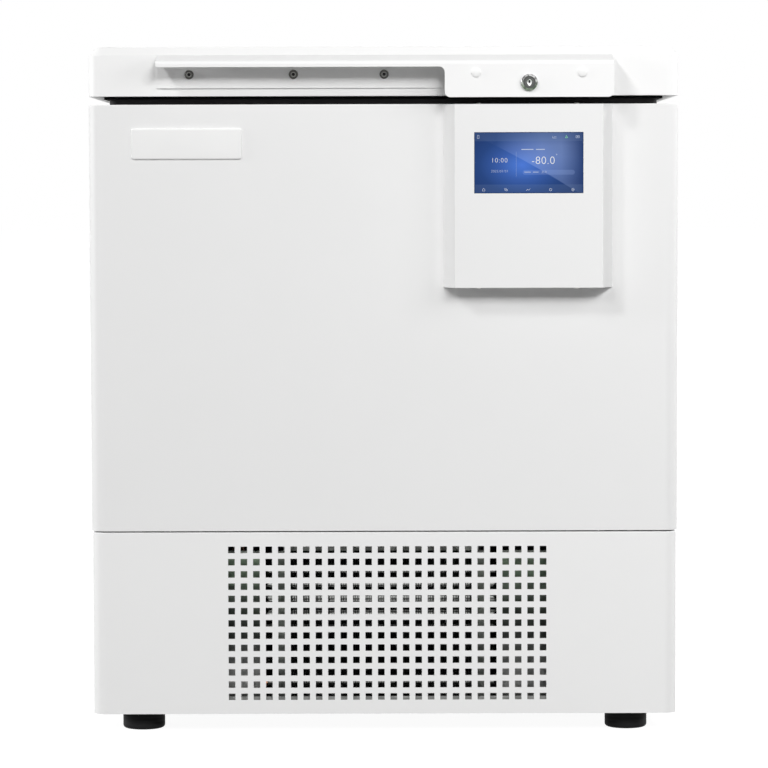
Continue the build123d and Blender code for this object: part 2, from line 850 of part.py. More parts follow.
def air_baffles():
    """Sheets from the front posts towards the condenser, with room left for the pipe's turns."""
    post = panel_inset + steel + fit_gap + pan_sheet + post_inset + post_size
    z = (pan_z + condenser_sheet, condenser_z + condenser_height)
    baffles = []
    for side in (-1, 1):
        inner = condenser_x + side * (condenser_width / 2 + baffle_gap)
        outer = side * (cabinet_width / 2 - post)
        baffles.append(block(sorted((inner, outer)), (condenser_y, condenser_y + condenser_sheet), z))
    return baffles


def fan_shroud():
    """The box behind the condenser with a round opening for the fan."""
    half = condenser_width / 2
    x = (condenser_x - half, condenser_x + half)
    z = (condenser_z, condenser_z + condenser_height)
    wall = condenser_sheet
    box = block(x, (condenser_back_y, shroud_back_y), z)
    inner_y = (condenser_back_y, shroud_back_y - wall)
    box -= block((x[0] + wall, x[1] - wall), inner_y, (z[0] + wall, z[1] - wall))
    back = (condenser_x, shroud_back_y - wall - overcut, fan_z)
    return box - rod(back, (condenser_x, shroud_back_y + overcut, fan_z), shroud_opening)


def fan_motor_bracket():
    """Four flat arms that hold the motor over the shroud's opening."""
    place = Pos(condenser_x, shroud_back_y + motor_bracket_sheet / 2, fan_z)
    arm = Box(2 * motor_arm_reach, motor_bracket_sheet, motor_arm_width)
    cross = place * Rot(0, 45, 0) * arm + place * Rot(0, -45, 0) * arm
    start = (condenser_x, shroud_back_y - overcut, fan_z)
    end = (condenser_x, shroud_back_y + motor_bracket_sheet + overcut, fan_z)
    return cross - rod(start, end, fan_shaft_radius + overcut)


def fan_motor():
    """The motor's body with a bore for the fan's shaft."""
    start = shroud_back_y + motor_bracket_sheet
    body = rod((condenser_x, start, fan_z), (condenser_x, start + motor_length, fan_z), motor_radius)
    end = (condenser_x, start + fan_shaft_grip + overcut, fan_z)
    return body - rod((condenser_x, start - overcut, fan_z), end, fan_shaft_radius + running_gap)


def fan_rotor():
    """The hub with its shaft and twisted blades."""
    hub = extrude(Circle(fan_hub_radius), fan_hub_depth)
    shaft_length = fan_hub_depth + fan_hub_gap + motor_bracket_sheet + fan_shaft_grip
    rotor = hub + extrude(Circle(fan_shaft_radius), shaft_length)
    for step in range(fan_blades):
        sections = []
        for reach, angle in ((fan_hub_radius - blade_sunk, blade_root_angle), (fan_radius, blade_tip_angle)):
            plane = Plane(origin=(reach, 0, fan_hub_depth / 2), x_dir=(0, 1, 0), z_dir=(1, 0, 0))
            chord = min(blade_chord, (fan_hub_depth - blade_thickness) / math.sin(math.radians(angle)))
            sections.append(plane * Rot(0, 0, angle) * Rectangle(chord, blade_thickness))
        rotor += Rot(0, 0, step * 360 / fan_blades) * loft(sections, ruled=True)
    seat = shroud_back_y - fan_hub_gap - fan_hub_depth
    return Pos(condenser_x, seat, fan_z) * Rot(-90, 0, 0) * rotor


def compressor(side):
    """A welded shell on its foot plate."""
    x = side * compressor_spread
    wall = compressor_radius
    shoulder = wall - compressor_dome
    top = compressor_height
    profile = [(0, 0), (wall, 0), (wall, top - compressor_dome), (shoulder, top), (0, top)]
    half_x = compressor_plate_x / 2
    half_y = compressor_plate_y / 2
    plate_z = (compressor_z - compressor_plate_sheet, compressor_z)
    plate = block((x - half_x, x + half_x), (compressor_y - half_y, compressor_y + half_y), plate_z)
    return turned(profile, x, compressor_y, compressor_z) + plate


def compressor_mounts():
    """Rubber blocks under the corners of both foot plates."""
    half = mount_size / 2
    pads = []
    for side in (-1, 1):
        for dx, dy in corners(compressor_plate_x / 2 - half, compressor_plate_y / 2 - half):
            x = side * compressor_spread + dx
            y = compressor_y + dy
            pads.append(block((x - half, x + half), (y - half, y + half), (pan_z, pan_z + mount_height)))
    return pads


def exchanger_front_y():
    """The depth of the exchanger's front."""
    return compressor_y - exchanger_forward - exchanger_depth / 2


def heat_exchanger():
    """The insulated exchanger block between the compressors."""
    half = exchanger_width / 2
    y = (exchanger_front_y(), exchanger_front_y() + exchanger_depth)
    return block((-half, half), y, (pan_z, pan_z + exchanger_height))


def drier_ends():
    """The two ends of the filter drier, which lies across the bay against the exchanger."""
    end = -exchanger_width / 2
    y = front_y + drier_set_back
    return (end - drier_length, y, pipe_low_z), (end, y, pipe_low_z)


def filter_drier():
    """The drier's copper body."""
    start, end = drier_ends()
    return mitred_pipe([start, end], drier_radius)


def discharge_line():
    """The pipe from the high stage to the top of the condenser."""
    x = -compressor_spread
    wall_y = compressor_y - compressor_radius
    riser_y = wall_y - line_riser
    inlet_x = condenser_x - condenser_width / 2 - pipe_stub
    points = [(x, wall_y, port_z), (x, riser_y, port_z), (x, riser_y, pipe_high_z)]
    points += [(x, pipe_y, pipe_high_z), (inlet_x, pipe_y, pipe_high_z)]
    return mitred_pipe(points, pipe_radius)


def liquid_line():
    """The pipe from the condenser's foot to the drier."""
    outlet_x = condenser_x - condenser_width / 2 - pipe_stub
    start, end = drier_ends()
    points = [(outlet_x, pipe_y, pipe_low_z), (liquid_turn_x, pipe_y, pipe_low_z)]
    points += [(liquid_turn_x, start[1], pipe_low_z), start]
    return mitred_pipe(points, pipe_radius)


def suction_lines():
    """Straight pipes from the exchanger to each compressor."""
    half = exchanger_width / 2
    wall = compressor_spread - compressor_radius
    lines = []
    for side in (-1, 1):
        points = [(side * half, compressor_y, port_z), (side * wall, compressor_y, port_z)]
        lines.append(mitred_pipe(points, pipe_radius))
    return lines


# Electrical parts

def electric_range():
    """The electrical box's low and high values on each axis."""
    left = -cabinet_width / 2 + panel_inset + steel + fit_gap + pan_sheet + electric_side
    y = front_y + electric_set_back
    right = liquid_turn_x - electric_clear
    return (left, right), (y, y + electric_depth), (pan_z, pan_z + electric_height)


def electrical_box():
    """An open-topped sheet box at the bay's left."""
    x, y, z = electric_range()
    box = block(x, y, z)
    inside_x = (x[0] + steel, x[1] - steel)
    inside_y = (y[0] + steel, y[1] - steel)
    return box - block(inside_x, inside_y, (z[0] + steel, z[1] + overcut))


def electrical_box_cover():
    """The sheet cover of the electrical box."""
    x, y, z = electric_range()
    return block(x, y, (z[1], z[1] + steel))


def cord_gland():
    """The gland where a mains cord leaves the rear panel."""
    face = rear_y - panel_inset
    inner = face - steel - gland_barrel
    nose = face + gland_nose
    gland = rod((gland_x, inner, gland_z), (gland_x, nose, gland_z), gland_radius)
    flange_end = (gland_x, face + gland_flange, gland_z)
    gland += hexagon_bar((gland_x, face, gland_z), flange_end, gland_flange_radius)
    return gland - rod((gland_x, inner - overcut, gland_z), (gland_x, nose + overcut, gland_z), gland_bore)


# Hinges

def hinge_leaf_solid(side, up):
    """A flat leaf whose edge curls into one knuckle: the cabinet's is the outer, the lid's the inner one."""
    middle = side * hinge_spread
    outward = side if up < 0 else -side
    back = (rear_y, rear_y + hinge_leaf)
    clear = hinge_knuckle_radius + overcut
    height = hinge_lid_height if up > 0 else hinge_base_height
    span = (middle - hinge_width / 2, middle + hinge_width / 2)
    leaf = block(span, back, sorted((hinge_z + up * clear, hinge_z + up * height)))
    near = middle + outward * hinge_knuckle_gap / 2
    far = middle + outward * hinge_width / 2
    leaf += block(sorted((near, far)), back, sorted((hinge_z, hinge_z + up * clear)))
    return leaf + rod((near, hinge_y, hinge_z), (far, hinge_y, hinge_z), hinge_knuckle_radius)


def hinge_pin_bar(side, radius):
    """A bar along the half of a hinge that the lid's knuckle takes."""
    middle = side * hinge_spread
    far = middle - side * hinge_width / 2
    return rod((middle + side * hinge_knuckle_gap, hinge_y, hinge_z), (far, hinge_y, hinge_z), radius)


def cabinet_hinge_leaves():
    """The leaves on the cabinet, each with a fixed pin."""
    return [hinge_leaf_solid(side, -1) + hinge_pin_bar(side, hinge_pin_radius) for side in (-1, 1)]


def lid_hinge_leaves():
    """The leaves on the lid, each with a knuckle that turns on the pin."""
    bore = hinge_pin_radius + running_gap
    return [hinge_leaf_solid(side, 1) - hinge_pin_bar(side, bore) for side in (-1, 1)]


pieces = {
    "cabinet_shell": cabinet_shell(),
    "body_floor_plate": body_floor_plate(),
    "insulation": insulation(),
    "inner_liner": inner_liner(),
    "evaporator_coil": evaporator_coil(),
    "temperature_probe": temperature_probe(),
    "breaker_frame": breaker_frame(),
    "lid_shell": lid_shell(),
    "lid_liner": lid_liner(),
    "lid_foam": lid_foam(),
    "lid_gasket": lid_gasket(),
    "handle_bracket": handle_bracket(),
    "handle_caps": handle_caps(),
    "lock_standoffs": lock_standoffs(),
    "lock_barrel": lock_barrel(),
    "lock_nut": lock_nut(),
    "lock_plug": lock_plug(),
    "lock_cam": lock_cam(),
    "control_cover": control_cover(),
    "control_bracket": control_bracket(),
    "control_board": control_board(),
    "display_glass": display_glass(),
    "display_module": display_module(),
    "front_grille_panel": front_grille_panel(),
    "left_side_panel": side_panel(-1),
    "right_side_panel": side_panel(1),
    "rear_vent_panel": rear_vent_panel(),
    "base_pan": base_pan(),
    "corner_posts": corner_posts(),
    "rubber_feet": rubber_feet(),
    "condenser_frame": condenser_frame(),
    "condenser_fins": condenser_fins(),
    "condenser_pipe": condenser_pipe(),
    "air_baffles": air_baffles(),
    "fan_shroud": fan_shroud(),
    "fan_motor_bracket": fan_motor_bracket(),
    "fan_motor": fan_motor(),
    "fan_rotor": fan_rotor(),
    "compressor_high_stage": compressor(-1),
    "compressor_low_stage": compressor(1),
    "compressor_mounts": compressor_mounts(),
    "heat_exchanger": heat_exchanger(),
    "filter_drier": filter_drier(),
    "discharge_line": discharge_line(),
    "liquid_line": liquid_line(),
    "suction_lines": suction_lines(),
    "electrical_box": electrical_box(),
    "electrical_box_cover": electrical_box_cover(),
    "cord_gland": cord_gland(),
    "cabinet_hinge_leaves": cabinet_hinge_leaves(),
    "lid_hinge_leaves": lid_hinge_leaves(),
}

for name, shape in pieces.items():
    group = shape if isinstance(shape, list) else [shape]
    solids = [solid for piece in group for solid in piece.solids()]
    export_step(Compound(solids), f"parts/{name}.step")
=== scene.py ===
# %% [markdown]
# # A chest freezer for very low temperatures, dressed for the camera
#
# The CAD frame already holds every solid of the freezer: shell, lid, handle, lock, screen box,
# grille and the machine bay behind it. This lesson keeps those solids where they are, gives each
# one a finish, and adds what is too small for the solids: screws, the ribbed gasket, the picture
# on the screen and the bare plate. One scene serves the rest pose and every open pose.

# %% Load the frame
import json
import math

import bmesh
import bpy
from mathutils import Matrix, Vector


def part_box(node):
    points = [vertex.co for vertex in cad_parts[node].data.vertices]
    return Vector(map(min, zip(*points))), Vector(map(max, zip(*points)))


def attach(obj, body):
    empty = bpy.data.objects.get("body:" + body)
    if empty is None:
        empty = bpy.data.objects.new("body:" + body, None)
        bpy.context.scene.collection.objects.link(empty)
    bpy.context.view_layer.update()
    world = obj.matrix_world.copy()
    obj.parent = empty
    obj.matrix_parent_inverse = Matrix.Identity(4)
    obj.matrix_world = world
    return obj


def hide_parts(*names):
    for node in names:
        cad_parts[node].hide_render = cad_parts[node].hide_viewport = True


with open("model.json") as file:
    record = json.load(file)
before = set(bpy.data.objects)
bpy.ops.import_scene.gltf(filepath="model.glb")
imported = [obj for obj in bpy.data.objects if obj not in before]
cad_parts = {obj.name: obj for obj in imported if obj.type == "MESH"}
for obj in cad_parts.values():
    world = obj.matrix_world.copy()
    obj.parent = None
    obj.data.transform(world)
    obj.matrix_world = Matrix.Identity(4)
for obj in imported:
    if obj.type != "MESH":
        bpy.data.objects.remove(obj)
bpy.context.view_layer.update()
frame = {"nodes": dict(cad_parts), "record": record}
nodes = frame["nodes"]

# %% [markdown]
# ## Camera
#
# The freezer was photographed with a long lens from a little below the height of the screen, so the
# lid is seen slightly from beneath and the feet slightly from above. A camera could be aimed with a
# tracking constraint; a plain matrix is kept instead, because pitch and roll stay readable numbers.

# %% Place the camera
CAMERA_PLACE = (0.0, -5.136, 0.781)
CAMERA_PITCH = math.radians(3.305)
CAMERA_ROLL = math.radians(-0.15)
CAMERA_LENS = 157.5

camera_data = bpy.data.cameras.new("camera")
camera_data.lens = CAMERA_LENS
camera_data.sensor_width = 36.0
camera_data.clip_end = 200.0
camera = bpy.data.objects.new("camera", camera_data)
bpy.context.scene.collection.objects.link(camera)
turn = Matrix.Rotation(math.pi / 2 - CAMERA_PITCH, 4, "X") @ Matrix.Rotation(CAMERA_ROLL, 4, "Z")
camera.matrix_world = Matrix.Translation(CAMERA_PLACE) @ turn
bpy.context.scene.camera = camera
bpy.context.scene.view_settings.view_transform = "Standard"
print("camera at", CAMERA_PLACE, "lens", CAMERA_LENS)

# %% [markdown]
# ## Shader sums in plain Python
#
# A finish is a small graph of nodes. Writing each node and link by hand hides the idea, so one class
# wraps a socket and turns Python sums into Math nodes, and one method adds any other node. Only the
# sums that the finishes use are there.

# %% A socket that can be used in sums, and a finish that holds the nodes
class Wire:
    """One output socket of a graph, ready for sums."""

    def __init__(self, graph, socket):
        self.graph = graph
        self.socket = socket

    def __add__(self, other):
        return self.graph.math("ADD", self, other)

    def __sub__(self, other):
        return self.graph.math("SUBTRACT", self, other)

    def __rsub__(self, other):
        return self.graph.math("SUBTRACT", other, self)

    def __mul__(self, other):
        return self.graph.math("MULTIPLY", self, other)

    def __truediv__(self, other):
        return self.graph.math("DIVIDE", self, other)

    def __gt__(self, other):
        return self.graph.math("GREATER_THAN", self, other)

    def __lt__(self, other):
        return self.graph.math("LESS_THAN", self, other)


class Graph:
    """The nodes of a material or a world."""

    def __init__(self, tree):
        self.tree = tree

    def node(self, kind, settings=None, sockets=None, output=0):
        """Add a node: first its settings, then the values or wires of its sockets."""
        made = self.tree.nodes.new(kind)
        for label, value in (settings or {}).items():
            if label == "stops":
                ramp = made.color_ramp.elements
                while len(ramp) < len(value):
                    ramp.new(0.5)
                for stop, (place, colour) in zip(ramp, value):
                    stop.position = place
                    stop.color = (*colour, 1.0)
            else:
                setattr(made, label, value)
        for label, value in (sockets or {}).items():
            self.join(made.inputs[label], value)
        return Wire(self, made.outputs[output])

    def join(self, socket, value):
        if isinstance(value, Wire):
            self.tree.links.new(value.socket, socket)
        elif socket.type == "RGBA" and len(value) == 3:
            socket.default_value = (*value, 1.0)
        else:
            socket.default_value = value

    def math(self, operation, first, second=0.0):
        return self.node("ShaderNodeMath", {"operation": operation}, {0: first, 1: second})

    def ramp(self, value, low, high, first=0.0, last=1.0, soft=False):
        """A number that runs from first to last while value runs from low to high."""
        settings = {"interpolation_type": "SMOOTHSTEP"} if soft else None
        return self.node("ShaderNodeMapRange", settings, {0: value, 1: low, 2: high, 3: first, 4: last})

    def place(self):
        """Where a point lies on the piece, in metres: its vector and its three numbers."""
        where = self.node("ShaderNodeTexCoord", output="Object")
        parts = self.node("ShaderNodeSeparateXYZ", None, {0: where}).socket.node
        return where, [Wire(self, parts.outputs[axis]) for axis in range(3)]

    def noise(self, where, scale, detail=2.0, rough=0.5):
        sockets = {"Vector": where, "Scale": scale, "Detail": detail, "Roughness": rough}
        return self.node("ShaderNodeTexNoise", None, sockets)

    def between(self, share, low, high):
        """A number that runs from low to high as share runs from 0 to 1."""
        return share * (high - low) + low

    def blend(self, share, first, second):
        """A colour between two colours."""
        mix = self.node("ShaderNodeMix", {"data_type": "RGBA"}, {0: share}).socket.node
        self.join(mix.inputs[6], first)
        self.join(mix.inputs[7], second)
        return Wire(self, mix.outputs[2])

    def seen(self):
        """One for rays from the camera, reflections and clear pieces, zero for light that fills the scene."""
        rays = ["Is Camera Ray", "Is Glossy Ray", "Is Transmission Ray"]
        camera_ray, glossy, clear = [self.node("ShaderNodeLightPath", output=ray) for ray in rays]
        return self.math("MAXIMUM", camera_ray, self.math("MAXIMUM", glossy, clear))


class Finish(Graph):
    """A material with one Principled shader; fixed values are set on its sockets."""

    def __init__(self, name, **fixed):
        self.material = bpy.data.materials.new(name)
        self.material.use_nodes = True
        super().__init__(self.material.node_tree)
        self.shader = self.tree.nodes["Principled BSDF"]
        for label, value in fixed.items():
            self.shader.inputs[label.replace("_", " ").title().replace("Ior", "IOR")].default_value = value

    def feed(self, label, value):
        """Link a varying value to the shader."""
        self.join(self.shader.inputs[label], value)

    def bump(self, height, strength, distance):
        sockets = {"Strength": strength, "Distance": distance, "Height": height}
        self.feed("Normal", self.node("ShaderNodeBump", None, sockets))


def stretched(finish, where, scale):
    """The same place with each axis scaled, for brushed or drawn surfaces."""
    return finish.node("ShaderNodeMapping", None, {"Vector": where, "Scale": scale})


# %% [markdown]
# ## White powder coat
#
# The cabinet, lid, handle and screen box are steel with a baked powder coat. Close up it is a fine
# orange peel, and over a whole panel it is very slightly uneven. A flat white would look like paper,
# so a fine noise lifts the surface by hundredths of a millimetre and a wide one shifts the gloss.

# %% Powder coat
def powder_coat(name, tone, rough):
    paint = Finish(name, ior=1.48)
    where, _ = paint.place()
    cloud = paint.noise(where, 3.2, 3.0)
    smear = paint.noise(where, 14.0, 4.0, 0.6)
    peel = paint.noise(where, 900.0, 1.0)
    pale = tuple(min(1.0, level * 1.012) for level in tone)
    deep = tuple(level * 0.985 for level in tone)
    paint.feed("Base Color", paint.blend(cloud * 0.6 + smear * 0.4, deep, pale))
    paint.feed("Roughness", paint.between(smear, rough - 0.06, rough + 0.06))
    paint.bump(peel, 0.10, 0.0003)
    return paint.material


# %% [markdown]
# ## Metals
#
# The tank inside is brushed stainless steel, the machine bay is galvanised sheet with its crystal
# spangle, the pipes are copper that has dulled, and the condenser's tube is pale drawn aluminium.
# Sheet could be wrapped in a photo of zinc, but Voronoi cells give the spangle on every face without
# a seam. The sheet's tone also follows the height: light low down, dark, then greenish and bright at
# the top. These bands are painted light and shade for how light falls through the grille.

# %% Stainless, galvanised, zinc, chrome, copper and aluminium
BAY_TOP = 0.30
# Noise shifts the bands of painted light and shade up and down by this much.
BAND_DRIFT = 0.03
DUST_TONE = (0.05, 0.055, 0.05)
# Painted light and shade: a tone for each height share in the bay, dark where the sheet lies in shade and
# light where light comes through the grille.
SHEET_PAINTED_LIGHT_STOPS = [(0.18, (0.24, 0.24, 0.235)), (0.21, (0.74, 0.74, 0.73)), (0.30, (0.42, 0.425, 0.415)),
               (0.39, (0.23, 0.235, 0.225)), (0.46, (0.075, 0.08, 0.075)), (0.57, (0.085, 0.10, 0.08)),
               (0.66, (0.22, 0.26, 0.215)), (0.76, (0.28, 0.38, 0.27)), (0.85, (0.36, 0.48, 0.34)),
               (0.868, (0.80, 0.84, 0.78))]
# Painted highlight: the frame's top lip gets a bright tone above a height share of 0.87.
FRAME_PAINTED_LIGHT_STOPS = [(0.0, (0.42, 0.43, 0.41)), (0.84, (0.40, 0.44, 0.38)), (0.87, (0.85, 0.88, 0.83))]


def stainless_steel(name):
    metal = Finish(name, metallic=1.0)
    where, _ = metal.place()
    grain = metal.noise(stretched(metal, where, (8.0, 8.0, 900.0)), 1.0, 3.0)
    cloud = metal.noise(where, 5.0, 2.0)
    metal.feed("Base Color", metal.blend(cloud, (0.50, 0.51, 0.52), (0.60, 0.61, 0.62)))
    metal.feed("Roughness", metal.between(grain, 0.24, 0.42))
    metal.bump(grain, 0.08, 0.0002)
    return metal.material


def galvanised_sheet(name, stops, metallic):
    """Zinc crystals on sheet; the stops give painted light and shade by height, from the floor up to BAY_TOP.
    """
    metal = Finish(name, metallic=metallic, specular_ior_level=0.3)
    where, (_, _, height) = metal.place()
    flake = metal.node("ShaderNodeTexVoronoi", {"feature": "F1"}, {"Vector": where, "Scale": 90.0}, "Color")
    grey = metal.node("ShaderNodeSeparateColor", None, {0: flake})
    cloud = metal.noise(where, 7.0, 3.0)
    level = (height + (cloud - 0.5) * BAND_DRIFT) / BAY_TOP
    # Painted light and shade from the height bands.
    painted_light = metal.node("ShaderNodeValToRGB", {"stops": stops}, {0: level})
    metal.feed("Base Color", metal.blend(grey * 0.5 + cloud * 0.3, painted_light, DUST_TONE))
    metal.feed("Roughness", metal.between(grey, 0.38, 0.60))
    return metal.material


def bright_metal(name, tone, low, high, scale=60.0):
    metal = Finish(name, metallic=1.0)
    where, _ = metal.place()
    cloud = metal.noise(where, scale, 3.0)
    fine = metal.noise(where, scale * 12, 2.0)
    deep = tuple(level * 0.8 for level in tone)
    metal.feed("Base Color", metal.blend(cloud, deep, tone))
    metal.feed("Roughness", metal.between(fine, low, high))
    metal.bump(fine, 0.04, 0.0001)
    return metal.material


# %% [markdown]
# ## Plastics, rubber and foam
#
# Moulded plastic has a fine spark-eroded grain. Rubber is duller and shows the rings left by
# its mould. The foam is only seen if a panel is taken off, so it gets simple cells.

# %% Plastic, rubber, foam, board and black paint
RUBBER_RING = 0.0052


def moulded_plastic(name, tone, rough, grain=600.0, gloss=0.5):
    plastic = Finish(name, ior=1.46, specular_ior_level=gloss)
    where, _ = plastic.place()
    fine = plastic.noise(where, grain, 2.0)
    cloud = plastic.noise(where, 12.0, 2.0)
    deep = tuple(level * 0.93 for level in tone)
    plastic.feed("Base Color", plastic.blend(cloud, deep, tone))
    plastic.feed("Roughness", plastic.between(fine, rough - 0.07, rough + 0.07))
    plastic.bump(fine, 0.10, 0.0002)
    return plastic.material


def ringed_rubber(name, tone):
    rubber = Finish(name, ior=1.5, specular_ior_level=0.06)
    where, (_, _, height) = rubber.place()
    ring = rubber.math("SINE", height * (2 * math.pi / RUBBER_RING))
    fine = rubber.noise(where, 450.0, 2.0)
    cloud = rubber.noise(where, 25.0, 3.0)
    dust = tuple(level * 1.5 + 0.003 for level in tone)
    rubber.feed("Base Color", rubber.blend(cloud * 0.7 + ring * 0.15, tone, dust))
    rubber.feed("Roughness", rubber.between(cloud, 0.50, 0.66))
    rubber.bump(ring * 0.5 + fine * 0.5, 0.15, 0.0004)
    return rubber.material


def cellular_foam(name, tone):
    foam = Finish(name, roughness=0.9)
    where, _ = foam.place()
    cell = foam.node("ShaderNodeTexVoronoi", {"feature": "F1"}, {"Vector": where, "Scale": 420.0})
    cloud = foam.noise(where, 8.0, 3.0)
    deep = tuple(level * 0.8 for level in tone)
    foam.feed("Base Color", foam.blend(cloud, deep, tone))
    foam.bump(cell, 0.35, 0.001)
    return foam.material


def circuit_board(name):
    board = Finish(name, ior=1.5)
    where, _ = board.place()
    sockets = {"Vector": where, "Scale": 55.0, "Mortar Size": 0.06}
    track = board.node("ShaderNodeTexBrick", None, sockets, "Fac")
    cloud = board.noise(where, 60.0, 2.0)
    board.feed("Base Color", board.blend(track, (0.01, 0.10, 0.045), (0.05, 0.22, 0.10)))
    board.feed("Roughness", board.between(cloud, 0.25, 0.4))
    return board.material


def black_enamel(name):
    paint = Finish(name, ior=1.5)
    where, _ = paint.place()
    cloud = paint.noise(where, 18.0, 4.0)
    fine = paint.noise(where, 380.0, 2.0)
    paint.feed("Base Color", paint.blend(cloud, (0.008, 0.008, 0.009), (0.022, 0.022, 0.023)))
    paint.feed("Roughness", paint.between(cloud, 0.28, 0.45))
    paint.bump(fine, 0.12, 0.0004)
    return paint.material


# %% [markdown]
# ## The lit screen
#
# The touch screen shows a blue page that is brighter in its middle, a bar at the top and bottom and a
# faint capsule for a second reading. Above a slanting line a paler painted sheen, a reflection on the
# glass, is added to the page's light. It could be a picture, but sums of the place on the glass keep
# it sharp at any size. Light from the page is emission under a smooth glass surface.

# %% Screen page
screen_low, screen_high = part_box("display_glass")
screen_size = screen_high - screen_low
PAGE_CENTRE = (0.44, 0.465)
PAGE_STOPS = [(0.0, (0.062, 0.176, 0.645)), (0.10, (0.050, 0.148, 0.530)), (0.23, (0.030, 0.096, 0.370)),
              (0.33, (0.019, 0.070, 0.278)), (0.44, (0.009, 0.046, 0.193)), (0.62, (0.004, 0.028, 0.135)),
              (1.0, (0.003, 0.022, 0.100))]
SHEEN_AND_CAPSULE_TONE = (0.39, 0.54, 0.97)
TOP_BAR = 0.854
BOTTOM_BAR = 0.142
BAR_TONE = (0.20, 0.30, 0.46)
CAPSULE_PLACE = (0.683, 0.342)
CAPSULE_RADIUS = 0.0034
CAPSULE_RUN = 0.0335
CAPSULE_BLUR = 0.0003
SCREEN_SHAPE = 0.56
SCREEN_RIM = 0.007
RIM_TONE = (0.012, 0.040, 0.13)
GLASS_TONE = (0.004, 0.006, 0.012, 1.0)


def lit_screen(name):
    glass = Finish(name, ior=1.45, specular_ior_level=0.15, emission_strength=1.0, base_color=GLASS_TONE)
    where, (x, _, z) = glass.place()
    across = (x - screen_low.x) / screen_size.x
    up = (z - screen_low.z) / screen_size.z

    side = across - PAGE_CENTRE[0]
    rise = up - PAGE_CENTRE[1]
    far = glass.math("SQRT", side * side * 1.25 + rise * rise * 0.9)
    page = glass.node("ShaderNodeValToRGB", {"stops": PAGE_STOPS}, {0: far})

    # Painted sheen: above a slanting line the page is blended towards a paler tone, a reflection on the glass
    # that fades towards the sides, the foot and the top.
    sheen_slope = up - (0.951 - across * (across * 0.149 + 0.848))
    edge = glass.ramp(sheen_slope, -0.008, 0.012, soft=True)
    left = glass.ramp(across, 0.20, 0.62, 0.05, 1.0)
    right = glass.ramp(across, 0.80, 1.0, 1.0, 0.05)
    foot = glass.ramp(up, 0.2, 0.6, 0.55, 1.0)
    head = glass.ramp(up, 0.78, 0.95, 1.0, 0.6)
    with_sheen = glass.blend(edge * left * right * (foot * head) * 0.30, page, SHEEN_AND_CAPSULE_TONE)

    in_bar = (up > TOP_BAR) + (up < BOTTOM_BAR)
    bars = glass.blend(in_bar * 0.10, with_sheen, BAR_TONE)
    along = glass.math("ABSOLUTE", across - CAPSULE_PLACE[0]) * screen_size.x
    over = glass.math("MAXIMUM", along - CAPSULE_RUN, 0.0)
    beside = (up - CAPSULE_PLACE[1]) * screen_size.z
    out = glass.math("SQRT", over * over + beside * beside)
    capsule = glass.ramp(out, CAPSULE_RADIUS - CAPSULE_BLUR, CAPSULE_RADIUS + CAPSULE_BLUR, 0.12, 0.0)
    filled = glass.blend(capsule, bars, SHEEN_AND_CAPSULE_TONE)

    rim = glass.math("MINIMUM", across, 1 - across)
    sill = glass.math("MINIMUM", up * SCREEN_SHAPE, (1 - up) * SCREEN_SHAPE)
    at_rim = glass.math("MINIMUM", rim, sill) < SCREEN_RIM
    glass.feed("Emission Color", glass.blend(at_rim * 0.75, filled, RIM_TONE))
    fine = glass.noise(where, 200.0, 1.0)
    glass.feed("Roughness", glass.between(fine, 0.13, 0.19))
    return glass.material


def lit_ink(name, tone, glow):
    """Digits and marks that shine on the screen."""
    ink = Finish(name, roughness=0.4, emission_strength=glow)
    where, _ = ink.place()
    soft = ink.noise(where, 300.0, 1.0)
    deep = tuple(level * 0.9 for level in tone)
    ink.feed("Emission Color", ink.blend(soft, deep, tone))
    ink.feed("Base Color", ink.blend(soft, (0.01, 0.01, 0.02), (0.02, 0.02, 0.03)))
    return ink.material


print("screen", [round(v * 1000, 1) for v in screen_size])

# %% [markdown]
# ## The lock
#
# A small cam lock is turned brass under thin plating. Its ring mirrors whatever stands round it. In a
# white studio a plain mirror would turn white all over, so the ring is given painted reflections: bright
# and dark patches, lighter over its upper half and darker below. The dish inside it and the keyway in
# the plug are painted dark as shade.

# %% Plating and plug
lock_low, lock_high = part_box("lock_barrel")
LOCK_X = (lock_low.x + lock_high.x) / 2
LOCK_Z = (lock_low.z + lock_high.z) / 2
LOCK_FRONT_Y = lock_low.y
DISH_SHADE_RADIUS = 0.0088
KEYWAY_SHADE_DEPTH = 0.0008


def lock_places(finish):
    """The place, the distance from the lock's axis, the rise over it and the depth behind its front."""
    where, (x, y, z) = finish.place()
    over = x - LOCK_X
    rise = z - LOCK_Z
    return where, finish.math("SQRT", over * over + rise * rise), rise, y - LOCK_FRONT_Y


def plated_lock(name):
    plating = Finish(name, metallic=1.0)
    where, far, rise, _ = lock_places(plating)
    # Painted reflection: noise patches and a lighter upper half stand in for what the ring would mirror.
    reflection_patch = plating.ramp(plating.noise(where, 190.0, 2.0), 0.36, 0.62, soft=True)
    fine = plating.noise(where, 1500.0, 2.0)
    lower_reflection = plating.blend(reflection_patch, (0.09, 0.12, 0.085), (0.24, 0.29, 0.22))
    upper_reflection = plating.blend(reflection_patch, (0.20, 0.20, 0.20), (0.62, 0.62, 0.62))
    ring = plating.blend(plating.ramp(rise, -0.006, 0.004), lower_reflection, upper_reflection)
    # Painted shade: inside the dish radius the ring is dark.
    plating.feed("Base Color", plating.blend(far < DISH_SHADE_RADIUS, ring, (0.10, 0.105, 0.10)))
    plating.feed("Roughness", plating.between(fine, 0.12, 0.26))
    return plating.material


def lock_face(name):
    metal = Finish(name, metallic=1.0)
    where, _, _, depth = lock_places(metal)
    cloud = metal.noise(where, 260.0, 2.0)
    face = metal.blend(cloud, (0.065, 0.068, 0.066), (0.115, 0.116, 0.112))
    # Painted shade: deeper than the plug's face, down in the keyway, the metal is black.
    metal.feed("Base Color", metal.blend(depth > KEYWAY_SHADE_DEPTH, face, (0.002, 0.002, 0.002)))
    metal.feed("Roughness", metal.between(cloud, 0.25, 0.40))
    return metal.material


